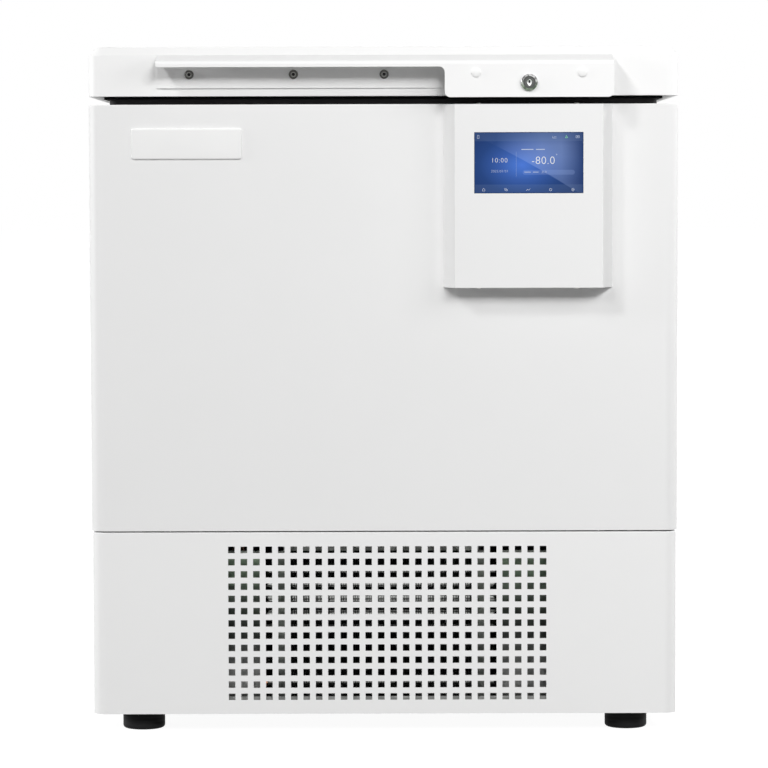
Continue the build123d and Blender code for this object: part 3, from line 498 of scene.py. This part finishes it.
def key_plate_metal(name):
    metal = Finish(name, metallic=1.0)
    where, _, rise, _ = lock_places(metal)
    # Painted reflection: the plate is near white below and dark above.
    upper_shade = metal.ramp(rise + metal.noise(where, 400.0, 2.0) * 0.001, -0.0014, 0.0026, soft=True)
    metal.feed("Base Color", metal.blend(upper_shade, (0.95, 0.95, 0.95), (0.24, 0.26, 0.24)))
    metal.feed("Roughness", metal.between(upper_shade, 0.12, 0.30))
    return metal.material


print("lock at", round(LOCK_X, 4), round(LOCK_Z, 4), "front", round(LOCK_FRONT_Y, 4))

# %% [markdown]
# ## Finishes onto the CAD nodes
#
# The record names a material slot for each node. One dictionary gives every slot its finish, so
# that no node is left with a plain grey, and a second one holds the few nodes that need their own.

# %% Give every node its finish
finishes = {
    "white_paint": powder_coat("white_powder_coat", (0.83, 0.83, 0.828), 0.42),
    "white_plastic": moulded_plastic("white_moulded_plastic", (0.82, 0.82, 0.815), 0.38),
    "stainless": stainless_steel("brushed_stainless"),
    "foam": cellular_foam("cream_foam", (0.78, 0.70, 0.50)),
    "black_plastic": moulded_plastic("black_moulded_plastic", (0.008, 0.008, 0.009), 0.50, gloss=0.2),
    "black_rubber": ringed_rubber("black_ringed_rubber", (0.006, 0.006, 0.0065)),
    "exchanger_wrap": cellular_foam("dark_foam_wrap", (0.03, 0.03, 0.032)),
    "galvanised": galvanised_sheet("galvanised_sheet", SHEET_PAINTED_LIGHT_STOPS, 0.6),
    "copper": bright_metal("dull_copper", (0.72, 0.36, 0.22), 0.28, 0.48),
    # Painted shade: the fins are near black to stand for the shade deep between them.
    "fin_aluminium": moulded_plastic("fins_painted_dark_shade", (0.030, 0.032, 0.030), 0.50, gloss=0.2),
    "pale_pipe": bright_metal("pale_drawn_tube", (0.56, 0.57, 0.55), 0.07, 0.13, 70.0),
    "black_paint": black_enamel("black_enamel"),
    "chrome": bright_metal("bright_chrome", (0.72, 0.73, 0.74), 0.07, 0.14, 90.0),
    "zinc_steel": bright_metal("zinc_plated_steel", (0.52, 0.52, 0.50), 0.26, 0.40, 90.0),
    "screen_glass": lit_screen("lit_screen_page"),
    "circuit_board": circuit_board("green_circuit_board"),
}
# The lid and handle get a lighter copy of the white coat, and the lower panel one a little lighter than the
# cabinet.
lid_paint = powder_coat("lid_powder_coat", (0.905, 0.905, 0.902), 0.42)
single = {
    "lid_shell": lid_paint,
    "handle_bracket": lid_paint,
    "front_grille_panel": powder_coat("panel_powder_coat", (0.865, 0.865, 0.862), 0.42),
    "condenser_frame": galvanised_sheet("zinc_sheet_painted_highlight", FRAME_PAINTED_LIGHT_STOPS, 0.3),
    "lock_barrel": plated_lock("lock_ring_painted_reflection"),
    "lock_plug": lock_face("dark_lock_plug"),
}
for row in frame["record"]["subparts"]:
    target = nodes[row["node"]]
    if not target.material_slots:
        target.data.materials.append(None)
    for holder in target.material_slots:
        holder.material = single.get(row["node"], finishes[row["material_slot"]])

# %% [markdown]
# ## Small pieces from meshes
#
# A lathe, a swept ring and a flat plate make nearly every small piece. Each takes plain points, so
# a screw is a profile of a few radii and heights turned about an axis. A Screw modifier turns a
# profile too, but plain points let one mesh hold a whole set of screws, each with its own recess.

# %% Mesh helpers
def add_piece(name, mesh, body, slot, material=None, smooth_angle=35.0):
    """Turn a bmesh into a piece that rides on a body."""
    bmesh.ops.recalc_face_normals(mesh, faces=mesh.faces)
    data = bpy.data.meshes.new(name)
    mesh.to_mesh(data)
    mesh.free()
    data.shade_smooth()
    data.set_sharp_from_angle(angle=math.radians(smooth_angle))
    data.materials.append(material or finishes[slot])
    piece = bpy.data.objects.new(name, data)
    bpy.context.scene.collection.objects.link(piece)
    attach(piece, body)
    return piece


def ring_points(mesh, place, axis, steps, shape):
    """A ring of points about an axis; the shape gives the radius and the height for an angle."""
    spin = Vector((0, 0, 1)).rotation_difference(Vector(axis)).to_matrix()
    row = []
    for step in range(steps):
        angle = 2 * math.pi * step / steps
        radius, height = shape(angle)
        point = Vector((radius * math.cos(angle), radius * math.sin(angle), height))
        row.append(mesh.verts.new(spin @ point + Vector(place)))
    return row


def lathe(mesh, profile, place, axis, steps=32):
    """Turn (radius, height) points about an axis; ends at radius zero are closed to a point."""
    rows = []
    for radius, height in profile:
        count = steps if radius > 0 else 1
        rows.append(ring_points(mesh, place, axis, count, lambda angle: (radius, height)))
    join_rows(mesh, rows)


def join_rows(mesh, rows):
    """Faces between each row of points and the next; a row of one point gives triangles."""
    for low, high in zip(rows, rows[1:]):
        count = max(len(low), len(high))
        for step in range(count):
            after = (step + 1) % count
            corners = [low[step % len(low)], low[after % len(low)],
                       high[after % len(high)], high[step % len(high)]]
            unique = list(dict.fromkeys(corners))
            if len(unique) > 2:
                mesh.faces.new(unique)


def rounded_outline(width, height, corner, steps=6):
    """Points of a rectangle with round corners, anticlockwise."""
    points = []
    for quarter, (sx, sy) in enumerate(((1, 1), (-1, 1), (-1, -1), (1, -1))):
        for step in range(steps + 1):
            angle = math.pi / 2 * (quarter + step / steps)
            x = sx * (width / 2 - corner) + corner * math.cos(angle)
            y = sy * (height / 2 - corner) + corner * math.sin(angle)
            points.append((x, y))
    return points


# %% [markdown]
# ## Screws
#
# Three socket screws hold the handle behind its pull, each on a washer. Cross-head pan screws hold
# the screen box, the hinges and the panels. The six-sided socket and the cross are cut as real
# recesses, because a painted dot gives itself away as soon as the light moves.

# %% Socket screws behind the pull
HANDLE_SCREW_X = (-0.2762, -0.1278, 0.0013)
HANDLE_SCREW_Z = 0.9454
HANDLE_FLANGE_Y = -0.3385
WASHER_RISE = 0.0011
SCREW_RISE = 0.0036
SOCKET_RIM = 0.0032
SOCKET_HALF = 0.0026
SOCKET_DEPTH = 0.0022
TOP_BAND = 0.0002


def washer(mesh, place, axis, radius=0.0066, hole=0.0040):
    """A thin ring with a broken outer edge."""
    edge = [(hole, 0), (radius, 0), (radius, WASHER_RISE * 0.6), (radius - 0.0003, WASHER_RISE),
            (hole, WASHER_RISE), (hole, 0)]
    lathe(mesh, edge, place, axis, 40)


def socket_screw(mesh, place, axis, head=0.0047, steps=24):
    """A head with a rounded edge and a six-sided socket."""
    wall = [(head, WASHER_RISE), (head, SCREW_RISE * 0.6), (head - 0.0004, SCREW_RISE * 0.88),
            (head - 0.0010, SCREW_RISE), (SOCKET_RIM, SCREW_RISE)]
    lathe(mesh, wall, place, axis, steps)

    def six_sides(angle):
        return SOCKET_HALF * math.cos(math.pi / 6) / math.cos(angle % (math.pi / 3) - math.pi / 6)

    rim = ring_points(mesh, place, axis, steps, lambda angle: (SOCKET_RIM, SCREW_RISE))
    edge = ring_points(mesh, place, axis, steps, lambda angle: (six_sides(angle), SCREW_RISE))
    foot = ring_points(mesh, place, axis, steps, lambda angle: (six_sides(angle), SCREW_RISE - SOCKET_DEPTH))
    join_rows(mesh, [rim, edge, foot])
    mesh.faces.new(foot)


def socket_steel(name):
    """Dark steel on the tops of the heads; their sides and sockets are painted black as shade."""
    metal = Finish(name, metallic=1.0)
    where, (_, depth, _) = metal.place()
    cloud = metal.noise(where, 400.0, 2.0)
    face = metal.blend(cloud, (0.12, 0.12, 0.115), (0.20, 0.20, 0.19))
    # Painted shade: below the top band of each head, its sides and socket are black.
    shaded_below_top = depth > HANDLE_FLANGE_Y - SCREW_RISE + TOP_BAND
    metal.feed("Base Color", metal.blend(shaded_below_top, face, (0.008, 0.008, 0.008)))
    metal.feed("Roughness", metal.between(cloud, 0.22, 0.36))
    return metal.material


screws, rings = bmesh.new(), bmesh.new()
for x in HANDLE_SCREW_X:
    socket_screw(screws, (x, HANDLE_FLANGE_Y, HANDLE_SCREW_Z), (0, -1, 0))
    washer(rings, (x, HANDLE_FLANGE_Y, HANDLE_SCREW_Z), (0, -1, 0))
washer_steel = bright_metal("dark_washer_steel", (0.085, 0.085, 0.08), 0.16, 0.30, 120.0)
add_piece("handle_screws", screws, "lid", "zinc_steel", socket_steel("dark_socket_steel"))
add_piece("handle_washers", rings, "lid", "zinc_steel", washer_steel)
print("handle screws", len(HANDLE_SCREW_X), "rise", SCREW_RISE)

# %% Pan screws on the box
CROSS_ARM = 0.00055
CROSS_REACH = 0.52


def pan_screw(mesh, place, axis, head=0.0042, rise=0.0022, steps=32):
    """A domed head with a cross cut into it."""

    def dome(radius):
        return rise * math.sqrt(1 - (radius / head) ** 2.6)

    def cross(angle):
        wide, tall = max(abs(math.cos(angle)), 1e-6), max(abs(math.sin(angle)), 1e-6)
        reach = head * CROSS_REACH
        return max(min(reach / wide, CROSS_ARM / tall), min(CROSS_ARM / wide, reach / tall))

    profile = [(head, 0.0), (head, rise * 0.22)]
    profile += [(head * share, dome(head * share)) for share in (0.93, 0.78, 0.62)]
    lathe(mesh, profile, place, axis, steps)
    rim = ring_points(mesh, place, axis, steps, lambda angle: profile[-1])
    edge = ring_points(mesh, place, axis, steps, lambda angle: (cross(angle), dome(cross(angle))))
    foot = ring_points(mesh, place, axis, steps, lambda angle: (cross(angle) * 0.8, rise * 0.35))
    join_rows(mesh, [rim, edge, foot])
    mesh.faces.new(foot)


box_low, box_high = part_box("control_cover")
BOX_SCREW_SPREAD = 0.0697
BOX_SCREW_SHIFT = -0.0009
BOX_SCREW_Y = -0.3535
box_middle = (box_low.x + box_high.x) / 2 + BOX_SCREW_SHIFT
screws = bmesh.new()
for side in (-1, 1):
    pan_screw(screws, (box_middle + side * BOX_SCREW_SPREAD, BOX_SCREW_Y, box_high.z), (0, 0, 1))
    pan_screw(screws, (box_middle + side * BOX_SCREW_SPREAD, BOX_SCREW_Y, box_low.z), (0, 0, -1))
add_piece("box_screws", screws, "cabinet", "zinc_steel")
print("screen box", [round(v, 4) for v in box_low], [round(v, 4) for v in box_high])

# %% Screws on the hinges
HINGE_X = 0.260
HINGE_LEAF = 0.003
HINGE_SCREW_SPREAD = 0.024
HINGE_SCREW_INSET = 0.014
HINGE_SCREW_HEAD = 0.005
base_leaf_low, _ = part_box("cabinet_hinge_leaves")
_, lid_leaf_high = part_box("lid_hinge_leaves")
leaf_face = base_leaf_low.y + HINGE_LEAF
base_rows = (base_leaf_low.z + HINGE_SCREW_INSET, base_leaf_low.z + 3 * HINGE_SCREW_INSET)
lid_rows = (lid_leaf_high.z - HINGE_SCREW_INSET,)
for body, rows in (("cabinet", base_rows), ("lid", lid_rows)):
    screws = bmesh.new()
    for middle in (-HINGE_X, HINGE_X):
        for side in (-1, 1):
            for z in rows:
                place = (middle + side * HINGE_SCREW_SPREAD, leaf_face, z)
                pan_screw(screws, place, (0, 1, 0), HINGE_SCREW_HEAD)
    add_piece(body + "_hinge_screws", screws, body, "zinc_steel")
print("hinge leaves face", round(leaf_face, 4))

# %% Screws on the rear and side panels
PANEL_SCREW_INSET = 0.018
SIDE_SCREW_RISE = 0.0013
rear_low, rear_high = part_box("rear_vent_panel")
screws = bmesh.new()
for x in (rear_low.x + PANEL_SCREW_INSET, 0.0, rear_high.x - PANEL_SCREW_INSET):
    for z in (rear_low.z + PANEL_SCREW_INSET, rear_high.z - PANEL_SCREW_INSET):
        pan_screw(screws, (x, rear_high.y, z), (0, 1, 0))
for node, side in (("left_side_panel", -1), ("right_side_panel", 1)):
    low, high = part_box(node)
    face = low.x if side < 0 else high.x
    for y in (low.y + PANEL_SCREW_INSET, (low.y + high.y) / 2, high.y - 2 * PANEL_SCREW_INSET):
        pan_screw(screws, (face, y, low.z + PANEL_SCREW_INSET), (side, 0, 0), rise=SIDE_SCREW_RISE)
add_piece("panel_screws", screws, "cabinet", "zinc_steel")
print("rear panel", [round(v, 4) for v in rear_low], [round(v, 4) for v in rear_high])

# %% [markdown]
# ## Key plate, caps and feet
#
# The plug carries a small plate round the key's slot, painted light below and dark above as a
# reflection, two smooth caps cover the bolts of the lock plate, and four turned rubber feet carry the
# freezer. All are lathe work except the key plate, whose outline is an oval with narrow ends and
# whose slot goes right through.

# %% Key plate
KEY_PLATE_HALF = (0.0035, 0.0052)
KEY_PLATE_NARROW = 0.28
KEY_PLATE_TOP = 0.80
KEY_PLATE_BACK = 0.0001
KEY_PLATE_EDGE = -0.00008
KEY_PLATE_FRONT = -0.00022
KEY_SLOT_HALF = (0.0012, 0.0021)
KEY_SLOT_RISE = 0.0009
KEY_SLOT_ROUND = 0.6
KEY_STEPS = 40
plug_low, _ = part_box("lock_plug")
key_plate = bmesh.new()


def plate_outline(cosine, sine):
    """An oval with narrow ends and a lower top."""
    half_width, half_height = KEY_PLATE_HALF
    tall = KEY_PLATE_TOP if sine > 0 else 1.0
    return half_width * (1 - KEY_PLATE_NARROW * abs(sine)) * cosine, half_height * tall * sine


def slot_outline(cosine, sine):
    """A rounded rectangle a little above the middle."""
    half_width, half_height = KEY_SLOT_HALF
    x = half_width * math.copysign(abs(cosine) ** KEY_SLOT_ROUND, cosine)
    return x, KEY_SLOT_RISE + half_height * math.copysign(abs(sine) ** KEY_SLOT_ROUND, sine)


def key_ring(outline, depth, share=1.0):
    """A ring of points along an outline, at a depth from the plug's face."""
    row = []
    for step in range(KEY_STEPS):
        angle = 2 * math.pi * step / KEY_STEPS
        x, z = outline(math.cos(angle), math.sin(angle))
        row.append(key_plate.verts.new((LOCK_X + x * share, plug_low.y + depth, LOCK_Z + z * share)))
    return row


rows = [key_ring(plate_outline, KEY_PLATE_BACK), key_ring(plate_outline, KEY_PLATE_EDGE),
        key_ring(plate_outline, KEY_PLATE_FRONT, 0.9),
        key_ring(slot_outline, KEY_PLATE_FRONT), key_ring(slot_outline, KEY_PLATE_BACK)]
join_rows(key_plate, rows + [rows[0]])
add_piece("lock_key_plate", key_plate, "lock", "chrome", key_plate_metal("key_plate_lit_below"))
print("key plate on", round(plug_low.y, 4))

# %% Caps on the lock plate
caps_low, caps_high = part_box("handle_caps")
CAP_RADIUS = (caps_high.z - caps_low.z) / 2
CAP_HEIGHT = caps_high.y - caps_low.y
CAP_WALL = 0.30
CAP_STEPS = 8
dome = [(0.0, 0.0), (CAP_RADIUS, 0.0), (CAP_RADIUS, CAP_HEIGHT * CAP_WALL)]
for step in range(1, CAP_STEPS + 1):
    angle = math.pi / 2 * step / CAP_STEPS
    radius = CAP_RADIUS * math.cos(angle) if step < CAP_STEPS else 0.0
    dome.append((radius, CAP_HEIGHT * (CAP_WALL + (1 - CAP_WALL) * math.sin(angle))))
caps = bmesh.new()
for x in (caps_low.x + CAP_RADIUS, caps_high.x - CAP_RADIUS):
    lathe(caps, dome, (x, caps_high.y, (caps_low.z + caps_high.z) / 2), (0, -1, 0), 40)
cap_white = moulded_plastic("cap_white_plastic", (0.93, 0.93, 0.925), 0.38)
smooth_caps = add_piece("smooth_caps", caps, "lid", "white_plastic", cap_white, 60.0)
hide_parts("handle_caps")

# %% Turned feet
FOOT_RADIUS = 0.0305
FOOT_EDGE = 0.0045
FOOT_GROOVE = 0.00025
GROOVE_HALF = 0.0007
FOOT_STEPS = 6
feet_low, feet_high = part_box("rubber_feet")
foot_height = feet_high.z - feet_low.z
turned = [(0.0, 0.0), (FOOT_RADIUS - FOOT_EDGE, 0.0)]
for step in range(1, FOOT_STEPS + 1):
    angle = math.pi / 2 * step / FOOT_STEPS
    turned.append((FOOT_RADIUS - FOOT_EDGE * (1 - math.sin(angle)), FOOT_EDGE * (1 - math.cos(angle))))
for groove in range(1, 4):
    z = FOOT_EDGE + groove * (foot_height - FOOT_EDGE) / 4
    turned += [(FOOT_RADIUS, z - GROOVE_HALF), (FOOT_RADIUS - FOOT_GROOVE, z), (FOOT_RADIUS, z + GROOVE_HALF)]
turned += [(FOOT_RADIUS, foot_height), (0.0, foot_height)]
feet = bmesh.new()
for x in (feet_low.x + FOOT_RADIUS, feet_high.x - FOOT_RADIUS):
    for y in (feet_low.y + FOOT_RADIUS, feet_high.y - FOOT_RADIUS):
        lathe(feet, turned, (x, y, feet_low.z), (0, 0, 1), 64)
foot_rubber = ringed_rubber("foot_rubber", (0.020, 0.020, 0.021))
turned_feet = add_piece("turned_feet", feet, "cabinet", "black_rubber", foot_rubber)
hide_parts("rubber_feet")
print("caps", round(CAP_RADIUS, 4), "feet", round(foot_height, 4))

# %% [markdown]
# ## Bare plate
#
# A thin moulded plate sits at the upper left of the front, smooth and bare. A bevel modifier would
# give its rim one even round. Stacked outlines give a roll that flattens towards the face instead,
# so that the rim catches a fine line of light.

# %% Plate
PLATE_CENTRE = (-0.2805, 0.8472)
PLATE_SIZE = (0.158, 0.0445)
PLATE_RISE = 0.0026
PLATE_CORNER = 0.0042
PLATE_ROLL = ((0.0, 0.0), (0.0, 0.35), (0.0003, 0.62), (0.0009, 0.85), (0.0018, 0.97), (0.003, 1.0))
cabinet_low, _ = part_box("cabinet_shell")
plate = bmesh.new()
layers = []
for inset, rise in PLATE_ROLL:
    outline = rounded_outline(PLATE_SIZE[0] - 2 * inset, PLATE_SIZE[1] - 2 * inset, PLATE_CORNER - inset)
    y = cabinet_low.y - rise * PLATE_RISE
    layers.append([plate.verts.new((PLATE_CENTRE[0] + x, y, PLATE_CENTRE[1] + z)) for x, z in outline])
join_rows(plate, layers)
plate.faces.new(layers[-1])
plate.faces.new(layers[0])
plate_white = moulded_plastic("plate_white_plastic", (0.90, 0.90, 0.895), 0.36)
add_piece("bare_plate", plate, "cabinet", "white_plastic", plate_white)
print("plate", PLATE_SIZE, "on", round(cabinet_low.y, 4))

# %% [markdown]
# ## Ribbed gasket
#
# The lid closes on a soft rubber gasket with folds round its edge. The CAD solid is a plain ring, so
# a profile with three folds is swept round the same path and stands for it.

# %% Gasket
gasket_low, gasket_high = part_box("lid_gasket")
gasket_size = gasket_high - gasket_low
gasket_middle = (gasket_high + gasket_low) / 2
GASKET_WIDTH = 0.032
GASKET_CORNER = 0.016
GASKET_INNER_CORNER = 0.002
FOLDS = 3
FOLD_DEPTH = 0.0011
profile = []
fold_steps = FOLDS * 8
for step in range(fold_steps + 1):
    share = step / fold_steps
    wave = 0.5 - 0.5 * math.cos(2 * math.pi * FOLDS * share)
    profile.append((FOLD_DEPTH * (1 - wave), share))
inner = [(GASKET_WIDTH - offset, 1 - share) for offset, share in profile]
gasket = bmesh.new()
loops = []
for offset, share in profile + inner:
    width = gasket_size.x - 2 * offset
    depth = gasket_size.y - 2 * offset
    corner = max(GASKET_INNER_CORNER, GASKET_CORNER - offset * 0.4)
    z = gasket_low.z + share * gasket_size.z
    outline = rounded_outline(width, depth, corner, 8)
    loops.append([gasket.verts.new((gasket_middle.x + x, gasket_middle.y + y, z)) for x, y in outline])
join_rows(gasket, loops + [loops[0]])
ribbed = add_piece("ribbed_gasket", gasket, "lid", "black_rubber")
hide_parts("lid_gasket")
print("gasket", [round(v, 4) for v in gasket_size])

# %% [markdown]
# ## Marks on the screen
#
# A reading, a clock and a row of plain symbols lie on the glass, all of them numbers and simple
# shapes. They could be painted by the screen's own shader, but sums for so many small shapes are
# hard to read. Strokes are flat ribbons with mitred corners instead, a tenth of a millimetre thick,
# set on the glass so that they hold from any side.

# %% Strokes and digits
INK_RISE = 0.00012
white_ink = lit_ink("white_screen_ink", (0.92, 0.92, 0.88), 0.95)
pale_ink = lit_ink("pale_screen_ink", (0.66, 0.72, 0.86), 0.85)
grey_ink = lit_ink("grey_screen_ink", (0.55, 0.63, 0.80), 0.85)
green_ink = lit_ink("green_screen_ink", (0.22, 0.80, 0.28), 0.85)
dim_ink = lit_ink("dim_screen_ink", (0.30, 0.42, 0.72), 0.80)


def on_screen(across, up, rise=0.0):
    """A point of the glass given by its shares across and up."""
    x = screen_low.x + across * screen_size.x
    z = screen_low.z + up * screen_size.z
    return Vector((x, screen_low.y - rise, z))


def stroke(points, width, closed):
    """The two sides of a ribbon along points, in metres from the middle of a mark."""
    count = len(points)
    flat = [Vector(point) for point in points]
    left, right = [], []
    for index, point in enumerate(flat):
        before = flat[index - 1] if index or closed else None
        after = flat[(index + 1) % count] if index < count - 1 or closed else None
        ways = []
        if before is not None:
            ways.append((point - before).normalized())
        if after is not None:
            ways.append((after - point).normalized())
        along = sum(ways, Vector((0, 0))).normalized()
        normal = Vector((-along.y, along.x))
        stretch = 1 / max(0.5, abs(normal.dot(Vector((-ways[0].y, ways[0].x)))))
        left.append(point + normal * width / 2 * stretch)
        right.append(point - normal * width / 2 * stretch)
    return left, right


def draw(mesh, centre, points, width, closed=False):
    """Put a stroke on the glass as a thin solid ribbon."""
    left, right = stroke(points, width, closed)
    rows = []
    for side, rise in ((left, 0.0), (left, INK_RISE), (right, INK_RISE), (right, 0.0)):
        rows.append([mesh.verts.new(centre + Vector((p.x, -rise, p.y))) for p in side])
    count = len(points)
    for row, after in zip(rows, rows[1:] + rows[:1]):
        for index in range(count if closed else count - 1):
            beside = (index + 1) % count
            mesh.faces.new([row[index], row[beside], after[beside], after[index]])
    if not closed:
        mesh.faces.new([row[0] for row in rows])
        mesh.faces.new([row[-1] for row in reversed(rows)])


def circle(radius, steps=20):
    angles = [2 * math.pi * step / steps for step in range(steps)]
    return [(radius * math.cos(angle), radius * math.sin(angle)) for angle in angles]


def digits(name, text, size, centre, material, thin, spread=1.0):
    """Numbers from the built-in face, made thinner and turned into a mesh on the glass."""
    curve = bpy.data.curves.new(name, "FONT")
    curve.body = text
    curve.size = size
    curve.align_x = "CENTER"
    curve.align_y = "CENTER"
    curve.extrude = INK_RISE / 2
    curve.offset = -thin
    curve.space_character = spread
    holder = bpy.data.objects.new(name + "_curve", curve)
    bpy.context.scene.collection.objects.link(holder)
    bpy.context.view_layer.update()
    data = bpy.data.meshes.new_from_object(holder.evaluated_get(bpy.context.evaluated_depsgraph_get()))
    bpy.data.objects.remove(holder)
    data.transform(Matrix.Translation(centre) @ Matrix.Rotation(math.pi / 2, 4, "X"))
    data.materials.clear()
    data.materials.append(material)
    data.name = name
    piece = bpy.data.objects.new(name, data)
    bpy.context.scene.collection.objects.link(piece)
    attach(piece, "cabinet")
    return piece


digits("screen_reading", "-80.0", 0.0156, on_screen(0.632, 0.532, INK_RISE), white_ink, 0.0003, 1.06)
digits("screen_clock", "10:00", 0.0092, on_screen(0.229, 0.537, INK_RISE), white_ink, 0.0002, 1.17)
digits("screen_date", "2025/01/01", 0.0050, on_screen(0.232, 0.360, INK_RISE), grey_ink, 0.00008, 1.08)
digits("screen_second_reading", "25.0", 0.0042, on_screen(0.640, 0.345, INK_RISE), grey_ink, 0.00006)
print("digits on the glass at", round(screen_low.y, 4))

# %% Symbols on the bars
STROKE = 0.00042
marks = bmesh.new()
house = [(-0.0017, -0.0016), (0.0017, -0.0016), (0.0017, 0.0006), (0.0, 0.0021), (-0.0017, 0.0006)]
draw(marks, on_screen(0.085, 0.055), house, STROKE, True)
page = [(-0.0012, 0.0011), (0.0012, 0.0011), (0.0012, -0.0011), (-0.0012, -0.0011)]
for shift in (-0.0008, 0.0009):
    draw(marks, on_screen(0.290, 0.058) + Vector((shift, 0, -shift * 0.6)), page, STROKE * 0.8, True)
trend = [(-0.0028, -0.0012), (-0.0009, 0.0007), (0.0006, -0.0005), (0.0028, 0.0015)]
draw(marks, on_screen(0.495, 0.055), trend, STROKE)
shield = [(-0.0018, 0.0008), (0.0, 0.0019), (0.0018, 0.0008), (0.0012, -0.0016), (-0.0012, -0.0016)]
draw(marks, on_screen(0.700, 0.055), shield, STROKE, True)
draw(marks, on_screen(0.906, 0.055), circle(0.0018), STROKE, True)
draw(marks, on_screen(0.906, 0.055), circle(0.0007, 12), STROKE * 0.8, True)
draw(marks, on_screen(0.755, 0.635), circle(0.0007, 14), STROKE * 0.8, True)
add_piece("screen_marks", marks, "cabinet", "screen_glass", pale_ink)

marks = bmesh.new()
tall_box = [(-0.0012, -0.0022), (0.0012, -0.0022), (0.0012, 0.0022), (-0.0012, 0.0022)]
draw(marks, on_screen(0.035, 0.925), tall_box, STROKE, True)
draw(marks, on_screen(0.735, 0.918), [(-0.0024, 0.0018), (-0.0024, -0.0012), (0.0026, -0.0012)], STROKE)
draw(marks, on_screen(0.738, 0.920), [(-0.0012, -0.0004), (0.0002, 0.0008), (0.0022, 0.0002)], STROKE)
wide_box = [(-0.0024, -0.0015), (0.0024, -0.0015), (0.0024, 0.0015), (-0.0024, 0.0015)]
draw(marks, on_screen(0.948, 0.925), wide_box, STROKE, True)
draw(marks, on_screen(0.948, 0.925), [(-0.0012, 0.0), (0.0012, 0.0)], STROKE * 2)
add_piece("screen_bar_marks", marks, "cabinet", "screen_glass", grey_ink)

marks = bmesh.new()
triangle = [(-0.0016, -0.0014), (0.0016, -0.0014), (0.0, 0.0018)]
draw(marks, on_screen(0.846, 0.925), triangle, STROKE * 1.2, True)
add_piece("screen_green_mark", marks, "cabinet", "screen_glass", green_ink)
print("symbol strokes", STROKE)

# %% Divider and label bars
DIVIDER_HALF = 0.0175
DIVIDER_WIDTH = 0.00028
LABEL_BARS = ((0.487, 0.718, 0.0085, 0.0011), (0.606, 0.718, 0.0062, 0.0011),
              (0.488, 0.345, 0.0045, 0.0008), (0.563, 0.345, 0.0040, 0.0008))
marks = bmesh.new()
draw(marks, on_screen(0.384, 0.475), [(0.0, -DIVIDER_HALF), (0.0, DIVIDER_HALF)], DIVIDER_WIDTH)
add_piece("screen_divider", marks, "cabinet", "screen_glass", dim_ink)
marks = bmesh.new()
for across, up, half, width in LABEL_BARS:
    draw(marks, on_screen(across, up), [(-half, 0.0), (half, 0.0)], width)
add_piece("screen_lines", marks, "cabinet", "screen_glass", grey_ink)
print("label bars", len(LABEL_BARS), "divider", DIVIDER_HALF * 2)

# %% [markdown]
# ## Floor and light
#
# The picture is a studio cut-out on white. The floor and the world shine white only for the camera
# and for reflections, so they don't add light to the freezer, and the floor keeps a faint shadow.
# The lamps stand far off, so the light is even from the lid to the feet. The keys stand close together
# a little right of the front, which gives the soft shadows under the pull and the screen box. The rear
# lamp stays out of reflections, because its glint would whiten the lid's top in a low view.

# %% Floor and world
FLOOR_GLOW = 0.94
FLOOR_TONE = (0.22, 0.22, 0.22, 1.0)
WORLD_FILL = 0.01
floor_mesh = bmesh.new()
bmesh.ops.create_grid(floor_mesh, x_segments=1, y_segments=1, size=60.0)
floor_data = bpy.data.meshes.new("studio_floor")
floor_mesh.to_mesh(floor_data)
floor_mesh.free()
floor = bpy.data.objects.new("studio_floor", floor_data)
bpy.context.scene.collection.objects.link(floor)
floor_paint = Finish("studio_floor", base_color=FLOOR_TONE, roughness=1.0, specular_ior_level=0.0,
                     emission_strength=1.0)
_, (across, depth, _) = floor_paint.place()
far = floor_paint.math("SQRT", across * across + depth * depth)
glow = floor_paint.seen() * floor_paint.ramp(far, 1.2, 3.0, FLOOR_GLOW, 1.0)
floor_paint.feed("Emission Color", floor_paint.blend(glow, (0.0, 0.0, 0.0), (1.0, 1.0, 1.0)))
floor_data.materials.append(floor_paint.material)

world = bpy.data.worlds.new("studio")
world.use_nodes = True
bpy.context.scene.world = world
sky = Graph(world.node_tree)
background = sky.tree.nodes["Background"]
background.inputs["Color"].default_value = (1.0, 1.0, 1.0, 1.0)
sky.join(background.inputs["Strength"], sky.ramp(sky.seen(), 0.0, 1.0, WORLD_FILL, 1.0))
print("floor glow", FLOOR_GLOW, "world fill", WORLD_FILL)

# %% Lamps
LAMP_TARGET = Vector((0.1, -0.35, 0.6))
LAMP_DISTANCE = 14.0
LAMP_SIZE = 1.8


def studio_lamp(name, right, up, power, distance=LAMP_DISTANCE, size=LAMP_SIZE, target=LAMP_TARGET):
    """A square lamp, placed by its turn to the right of the front and its rise, in degrees."""
    turn, rise = math.radians(right), math.radians(up)
    way = Vector((math.sin(turn) * math.cos(rise), -math.cos(turn) * math.cos(rise), math.sin(rise)))
    data = bpy.data.lights.new(name, "AREA")
    data.size = size
    data.energy = power
    lamp = bpy.data.objects.new(name, data)
    bpy.context.scene.collection.objects.link(lamp)
    lamp.visible_camera = False
    aim = (-way).to_track_quat("-Z", "Y").to_matrix().to_4x4()
    lamp.matrix_world = Matrix.Translation(target + way * distance) @ aim
    return lamp


for lamp_row in (("key_lamp", 14, 24, 350.0), ("high_key_lamp", 18, 34, 168.0),
                 ("right_key_lamp", 28, 28, 262.0), ("front_lamp", 6, 24, 252.0),
                 ("left_front_lamp", -30, 28, 230.0), ("left_lamp", -42, 40, 444.0),
                 ("left_side_lamp", -82, 12, 514.0), ("left_edge_lamp", -110, 15, 720.0),
                 ("right_edge_lamp", 110, 15, 784.0)):
    studio_lamp(*lamp_row)
rear_lamp = studio_lamp("rear_lamp", 170, 12, 780.0)
rear_lamp.visible_glossy = False
studio_lamp("near_lamp", 50, 21, 9.5, 1.62, 0.8, Vector((0.35, -0.34, 0.9)))
print("lamps", len(bpy.data.lights))
